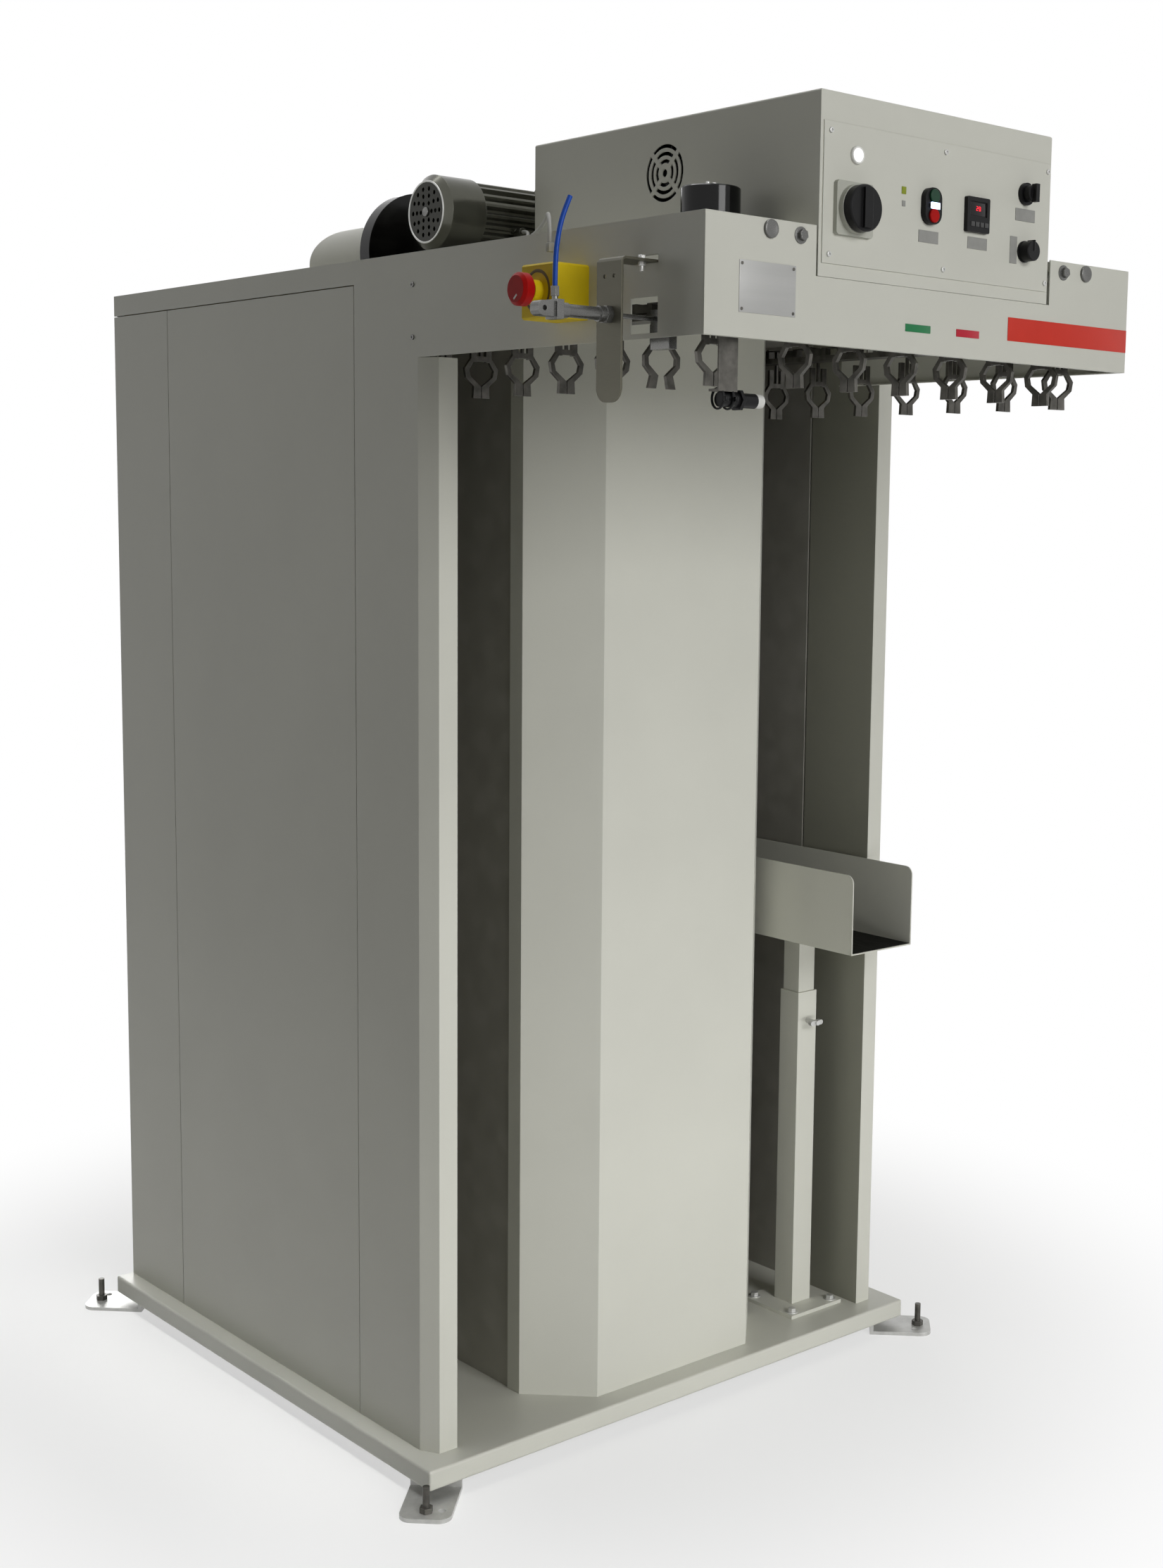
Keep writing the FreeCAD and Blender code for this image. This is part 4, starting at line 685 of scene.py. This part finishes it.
class OVEN_OT_motor_cable(bpy.types.Operator):
    """Grey cable from the motor over the cheek's edge, with the elbow that takes it inside"""

    bl_idname = "oven.motor_cable"
    bl_label = "Motor cable"

    def execute(self, context):
        # In metres: out of the motor, down to the top sheet, forward over it and across the cheek's edge
        route = [(-0.258, -0.376, 1.8), (-0.258, -0.398, 1.8), (-0.313, -0.433, 1.758), (-0.373, -0.527, 1.76),
                 (-0.432, -0.652, 1.766), (-0.47, -0.711, 1.78), (-0.472, -0.714, 1.736)]
        width = sizes().cable_width
        cable = flexible("grey_motor_cable", route, width, finishes["cable_sheath"])
        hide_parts("motor_cable")
        self.elbow(*route[-1][1:])
        return {"FINISHED"}

    def elbow(self, y, top):
        """Moulded elbow under the cable's end, with the spigot that goes through the cheek."""
        half_width, height, spigot = 4 * MM, 12 * MM, 10 * MM
        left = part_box("motor_cable")[0].x
        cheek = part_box("left_frame_sheet")[0].x
        elbow = slab((left, y - half_width, top - height), (cheek, y + half_width, top), edge=2 * MM)
        shape_faces(elbow, lambda middle, normal: normal.x > SQUARE)
        bpy.ops.mesh.inset(thickness=1.2 * MM)
        bpy.ops.mesh.extrude_region_move(TRANSFORM_OT_translate={"value": (spigot, 0, 0)})
        bpy.ops.object.mode_set(mode="OBJECT")
        dressed(joined([elbow], "cable_elbow"), finishes["cable_sheath"])


class OVEN_OT_screws(bpy.types.Operator):
    """Small screws of the control panel, the cheek and the rear cover"""

    bl_idname = "oven.screws"
    bl_label = "Screws"

    def execute(self, context):
        low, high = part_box("control_panel")
        inset, right_of_middle = 11 * MM, 4 * MM
        middle = (low.x + high.x) / 2 + right_of_middle
        spots = [(x, z) for x in (low.x + inset, middle, high.x - inset / 2) for z in (low.z + inset, high.z - inset)]
        places = [facing((x, low.y, z), OUT, turn=0.4 * i) for i, (x, z) in enumerate(spots)]
        piece = spread(cross_screw(sizes().screw_head), places, "panel_screws")
        dressed(piece, finishes["plated_steel"])

        cheek_low, cheek_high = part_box("left_frame_sheet")
        ahead, drops = 148 * MM, (43 * MM, 113 * MM)
        before_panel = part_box("left_side_panel")[0].y - ahead
        places = [facing((cheek_low.x, before_panel, cheek_high.z - drop), LEFT, turn=drop) for drop in drops]
        rear_low, rear_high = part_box("rear_cover")
        margin = 14 * MM
        for x in (rear_low.x + margin, 0.0, rear_high.x - margin):
            for share in (0.04, 0.5, 0.96):
                z = rear_low.z + share * (rear_high.z - rear_low.z)
                places.append(facing((x, rear_high.y, z), -OUT, turn=z))
        piece = spread(cross_screw(sizes().screw_head), places, "sheet_screws")
        dressed(piece, finishes["anodised"])
        return {"FINISHED"}


class OVEN_OT_header_fixings(bpy.types.Operator):
    """Bolts and blanking caps on the header's front, and the bolts of the chute's flange"""

    bl_idname = "oven.header_fixings"
    bl_label = "Header fixings"

    def execute(self, context):
        low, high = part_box("header_front")
        bolts_mm, bolt_level = (-313, 188), high.z - 14.5 * MM
        caps_mm, cap_level = (-363, 236), high.z - 12 * MM
        places = [facing((x * MM, low.y, bolt_level), OUT, turn=0.2) for x in bolts_mm]
        bolts = spread(hex_bolt(sizes().bolt_flats), places, "header_bolts")
        dressed(bolts, finishes["anodised"])
        places = [facing((x * MM, low.y, cap_level), OUT) for x in caps_mm]
        caps = spread(blanking_cap(sizes().cap_width), places, "blanking_caps")
        dressed(caps, finishes["anodised"])

        foot_low, foot_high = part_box("chute_post")
        flange, inset = 6 * MM, 14 * MM
        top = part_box("base_tray")[1].z + flange
        places = [facing((x, y, top), UP, turn=x) for x in (foot_low.x + inset, foot_high.x - inset)
                  for y in (foot_low.y + inset, foot_high.y - inset)]
        anchors = spread(hex_bolt(sizes().bolt_flats), places, "chute_flange_bolts")
        dressed(anchors, finishes["plated_steel"])
        return {"FINISHED"}


class OVEN_OT_plates(bpy.types.Operator):
    """Bare data plate with rivets, plain stripe and bars, and bare tags"""

    bl_idname = "oven.plates"
    bl_label = "Plates"

    def plate(self, face, left, right, bottom, top):
        """Thin plate on a face that looks out, between limits in millimetres."""
        return slab((left * MM, face - sizes().plate_thickness, bottom * MM), (right * MM, face, top * MM),
                    edge=0.2 * MM)

    def execute(self, context):
        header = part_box("header_front")[0].y
        left, right, bottom, top = -412, -320, 1639, 1699
        inset = 4
        data = joined([self.plate(header, left, right, bottom, top)], "data_plate")
        dressed(data, finishes["plate"])
        rivets = [facing((x * MM, header - sizes().plate_thickness, z * MM), OUT)
                  for x in (left + inset, right - inset) for z in (bottom + inset, top - inset)]
        heads = spread(blanking_cap(width=4 * MM), rivets, "data_plate_rivets")
        dressed(heads, finishes["dark_steel"])

        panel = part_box("control_panel")[0].y
        # Name, finish, the face behind, and each plate's left, right, bottom and top in millimetres
        films = (
            ("stripe", "stripe", header, [(75, 333.5, 1638, 1668.5)]),
            ("green_bar", "green_film", header, [(-125, -78, 1636.5, 1646)]),
            ("crimson_bar", "crimson_film", header, [(-28, 17, 1636.5, 1646)]),
            ("panel_tags", "tag", panel, [(-107, -70, 1748, 1763), (-13, 25, 1749, 1764), (81, 121, 1794, 1810),
                                          (72, 86, 1738, 1773), (-139, -133, 1788, 1795)]),
            ("lime_sticker", "lime_film", panel, [(-140, -132, 1803, 1812)]),
        )
        for name, finish, face, areas in films:
            dressed(joined([self.plate(face, *area) for area in areas], name), finishes[finish])
        return {"FINISHED"}


class OVEN_OT_panel_lights(bpy.types.Operator):
    """Pilot lamp, lit button window and the temperature controller's face"""

    bl_idname = "oven.panel_lights"
    bl_label = "Panel lights"

    def pilot_lamp(self):
        """Domed lens in its rim, in place of the lamp's plain solid."""
        flatness = 0.75
        low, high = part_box("pilot_lamp")
        centre = (low + high) / 2
        seat = facing((centre.x, high.y, centre.z), OUT)
        deselect()
        bpy.ops.mesh.primitive_uv_sphere_add(segments=32, ring_count=16, radius=8.5 * MM)
        lens = bpy.context.object
        bpy.ops.object.mode_set(mode="EDIT")
        bpy.ops.mesh.select_all(action="SELECT")
        bpy.ops.mesh.bisect(plane_co=(0, 0, 0), plane_no=(0, 0, 1), clear_inner=True, use_fill=True)
        bpy.ops.mesh.select_all(action="SELECT")
        bpy.ops.transform.resize(value=(1, 1, flatness))
        bpy.ops.object.mode_set(mode="OBJECT")
        lens.matrix_world = seat
        lamp = joined([lens], "pilot_lamp_lens")
        dressed(lamp, finishes["lit_white"])
        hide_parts("pilot_lamp")
        rim = spread(blanking_cap(width=22 * MM), [seat], "pilot_lamp_rim")
        dressed(rim, finishes["white_plastic"])

    def button_window(self):
        """Lit window between the start and stop buttons."""
        half_width, half_height, proud = 8.5 * MM, 4 * MM, 1.2 * MM
        low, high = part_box("start_button")
        x = (low.x + high.x) / 2
        z = (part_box("stop_button")[1].z + low.z) / 2
        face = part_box("panel_bezels")[0].y
        window = slab((x - half_width, face - proud, z - half_height), (x + half_width, face, z + half_height),
                      edge=1.0 * MM)
        dressed(joined([window], "button_window"), finishes["lit_blue"])

    def lit_digits(self, left, base, pane):
        """Two digits of straight strokes, on the pane."""
        height = sizes().digit_height
        width = 0.5 * height
        bar = 0.15 * height
        pitch, proud = 5 * MM, 0.5 * MM
        # Each stroke's share of the width and height, and whether it is upright
        strokes = {"top": (0, 1, False), "middle": (0, 0.5, False), "bottom": (0, 0, False),
                   "upper_left": (0, 0.5, True), "upper_right": (1, 0.5, True),
                   "lower_left": (0, 0, True), "lower_right": (1, 0, True)}
        shown = (("top", "upper_right", "middle", "lower_left", "bottom"),
                 ("top", "upper_left", "upper_right", "lower_left", "lower_right", "bottom"))
        parts = []
        for place, digit in enumerate(shown):
            for name in digit:
                across, level, upright = strokes[name]
                x = left + place * pitch + across * width
                z = base + level * height
                long_x, long_z = (bar, height / 2) if upright else (width, bar)
                parts.append(slab((x, pane - proud, z), (x + long_x, pane, z + long_z), edge=0.15 * bar))
        dressed(joined(parts, "controller_digits"), finishes["digits"])

    def controller(self):
        """Pane, digits and keys of the temperature controller."""
        low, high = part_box("temperature_controller")
        centre = (low + high) / 2
        margin, recess, thickness, below_middle = 7 * MM, 1.5 * MM, 0.4 * MM, 1 * MM
        floor = low.y + recess
        pane = floor - thickness
        glass = slab((low.x + margin, pane, centre.z - below_middle), (high.x - margin, floor, high.z - margin),
                     edge=0.2 * MM)
        dressed(joined([glass], "controller_pane"), finishes["dark_glass"])
        self.lit_digits(left=centre.x - 4 * MM, base=centre.z + 5 * MM, pane=pane)
        key_count, key_pitch = 4, 9 * MM
        key_width, key_height, key_rise = 7 * MM, 6 * MM, 0.8 * MM
        base = low.z + margin
        keys = []
        for i in range(key_count):
            x = low.x + margin + i * key_pitch
            keys.append(slab((x, low.y - key_rise, base), (x + key_width, low.y, base + key_height), edge=0.5 * MM))
        dressed(joined(keys, "controller_keys"), finishes["key_rubber"])

    def execute(self, context):
        self.pilot_lamp()
        self.button_window()
        self.controller()
        return {"FINISHED"}


class OVEN_OT_sensor_details(bpy.types.Operator):
    """White nose of the clip sensor and the ties that hold it"""

    bl_idname = "oven.sensor_details"
    bl_label = "Sensor details"

    def tie(self, x, sensor_low, centre):
        """Flat band round the sensor and its shelf, and the band's lock in front."""
        lift, flattening = 1.0 * MM, (1.8, 1, 1.15)
        half_width, half_height = 2.5 * MM, 3 * MM
        proud, sunk = 3.5 * MM, 1.5 * MM
        deselect()
        bpy.ops.mesh.primitive_torus_add(major_segments=40, minor_segments=8, major_radius=10.6 * MM,
                                         minor_radius=1.1 * MM, location=(x, centre.y, centre.z + lift),
                                         rotation=(0, math.pi / 2, 0))
        band = bpy.context.object
        shape_faces(band, any_face)
        bpy.ops.transform.resize(value=flattening, orient_type="GLOBAL")
        bpy.ops.object.mode_set(mode="OBJECT")
        lock = slab((x - half_width, sensor_low.y - proud, centre.z - half_height),
                    (x + half_width, sensor_low.y + sunk, centre.z + half_height), edge=0.8 * MM)
        return [band, lock]

    def execute(self, context):
        low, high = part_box("clip_sensor")
        centre = (low + high) / 2
        nose = eased(blank(sides=32, radius=8.4 * MM, height=12 * MM), edge=1.5 * MM, segments=3)
        nose.matrix_world = facing((high.x, centre.y, centre.z), -LEFT)
        dressed(joined([nose], "sensor_nose"), finishes["white_plastic"])

        shelf_low, shelf_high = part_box("sensor_bracket")
        inset = 7 * MM
        ties = [*self.tie(shelf_low.x + inset, low, centre), *self.tie(shelf_high.x - inset, low, centre)]
        dressed(joined(ties, "sensor_ties"), finishes["black_plastic"])
        return {"FINISHED"}


class OVEN_OT_opener_details(bpy.types.Operator):
    """Bolt through the opener's flange, and the nuts on the drive unit's studs"""

    bl_idname = "oven.opener_details"
    bl_label = "Opener details"

    def execute(self, context):
        low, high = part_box("opener_bracket")
        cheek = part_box("left_frame_sheet")[0].x
        flats, sheet = 8 * MM, 3 * MM
        off_cheek, before_middle = 13 * MM, 10 * MM
        spot = Vector((cheek - off_cheek, (low.y + high.y) / 2 - before_middle, high.z))
        head = spread(hex_bolt(flats), [facing(spot, UP, turn=0.3)], "flange_bolt_head")
        nut = spread(stud_nut(flats, reach=7 * MM), [facing(spot - sheet * UP, -UP, turn=0.3)], "flange_nut")
        dressed(joined([head, nut], "flange_bolt"), finishes["plated_steel"])

        stud, left_of_axis, behind_axis, shifts_mm = 6 * MM, 28 * MM, 37 * MM, (-5, 6)
        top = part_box("drive_unit")[1].z - stud
        axis = next(j["pos_m"] for j in frame["joints"] if j["name"] == "drive_wheel_spin")
        can = Vector((axis[0] - left_of_axis, axis[1] + behind_axis, top))
        places = [facing(can + Vector((shift * MM, 0, 0)), UP, turn=shift) for shift in shifts_mm]
        nuts = spread(stud_nut(flats, reach=3 * MM), places, "drive_nuts")
        dressed(nuts, finishes["plated_steel"])
        return {"FINISHED"}


class OVEN_OT_cowl_rim(bpy.types.Operator):
    """Bright rolled rim round the motor cowl's face, and the boss in its middle"""

    bl_idname = "oven.cowl_rim"
    bl_label = "Cowl rim"

    def execute(self, context):
        low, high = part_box("motor_cowl")
        seat = facing((low.x, (low.y + high.y) / 2, (low.z + high.z) / 2), LEFT)
        rim = flat_ring(radius=42 * MM, wire=1.4 * MM, flatness=0.7, segments=72, wire_segments=10)
        rim.matrix_world = seat
        dressed(joined([rim], "cowl_rim"), finishes["plated_steel"])
        boss = spread(blanking_cap(width=13 * MM), [seat], "cowl_boss")
        dressed(boss, finishes["anodised"])
        return {"FINISHED"}


class OVEN_OT_chute_mat(bpy.types.Operator):
    """Thin black matt sheet on the floor of the delivery chute"""

    bl_idname = "oven.chute_mat"
    bl_label = "Chute mat"

    def execute(self, context):
        low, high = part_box("chute_channel")
        wall, inset, thickness = 2 * MM, 2 * MM, 0.8 * MM
        floor = low.z + wall
        mat = slab((low.x + wall, low.y + inset, floor), (high.x - wall, high.y - inset, floor + thickness),
                   edge=0.2 * MM)
        dressed(joined([mat], "chute_mat"), finishes["rubber"], "chute")
        return {"FINISHED"}


class OVEN_OT_stop_marks(bpy.types.Operator):
    """Printed ring on the emergency stop's case and the stroke on its mushroom"""

    bl_idname = "oven.stop_marks"
    bl_label = "Stop marks"

    def execute(self, context):
        low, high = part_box("stop_case")
        neck = 12 * MM
        ring = flat_ring(radius=24 * MM, wire=2.0 * MM, flatness=0.3, segments=64, wire_segments=8)
        ring.matrix_world = facing((low.x + neck, (low.y + high.y) / 2, (low.z + high.z) / 2), LEFT)
        dressed(joined([ring], "stop_ring"), finishes["ink"])

        low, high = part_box("stop_mushroom")
        below_middle = 9.5 * MM
        half_length, half_width, rise = 4 * MM, 1.2 * MM, 0.4 * MM
        stroke = slab((-half_length, -half_width, 0), (half_length, half_width, rise), edge=0.15 * MM)
        stroke.matrix_world = facing((low.x, (low.y + high.y) / 2, (low.z + high.z) / 2 - below_middle), LEFT,
                                     turn=0.7)
        dressed(joined([stroke], "stop_stroke"), finishes["white_plastic"], "stop_mushroom")
        return {"FINISHED"}


class OVEN_PT_sidebar(bpy.types.Panel):
    """Sidebar list of the oven's steps, sizes and colours"""

    bl_idname = "OVEN_PT_sidebar"
    bl_label = "Drying Oven"
    bl_space_type = "VIEW_3D"
    bl_region_type = "UI"
    bl_category = "Drying Oven"

    def draw(self, context):
        for operator in steps:
            self.layout.operator(operator.bl_idname)
        for group in (context.scene.oven_sizes, context.scene.oven_colours):
            for name in group.__annotations__:
                self.layout.prop(group, name)


steps = (OVEN_OT_stage, OVEN_OT_finishes, OVEN_OT_air_hose, OVEN_OT_motor_cable, OVEN_OT_screws,
         OVEN_OT_header_fixings, OVEN_OT_plates, OVEN_OT_panel_lights, OVEN_OT_sensor_details,
         OVEN_OT_opener_details, OVEN_OT_cowl_rim, OVEN_OT_chute_mat, OVEN_OT_stop_marks)
classes = (OvenSizes, OvenColours, *steps, OVEN_PT_sidebar)


def register():
    for cls in classes:
        bpy.utils.register_class(cls)
    bpy.types.Scene.oven_sizes = PointerProperty(type=OvenSizes)
    bpy.types.Scene.oven_colours = PointerProperty(type=OvenColours)


def unregister():
    del bpy.types.Scene.oven_colours
    del bpy.types.Scene.oven_sizes
    for cls in reversed(classes):
        bpy.utils.unregister_class(cls)


def main():
    register()
    bpy.ops.oven.stage()
    bpy.ops.oven.finishes()
    bpy.ops.oven.air_hose()
    bpy.ops.oven.motor_cable()
    bpy.ops.oven.screws()
    bpy.ops.oven.header_fixings()
    bpy.ops.oven.plates()
    bpy.ops.oven.panel_lights()
    bpy.ops.oven.sensor_details()
    bpy.ops.oven.opener_details()
    bpy.ops.oven.cowl_rim()
    bpy.ops.oven.chute_mat()
    bpy.ops.oven.stop_marks()


if __name__ == "__main__":
    main()
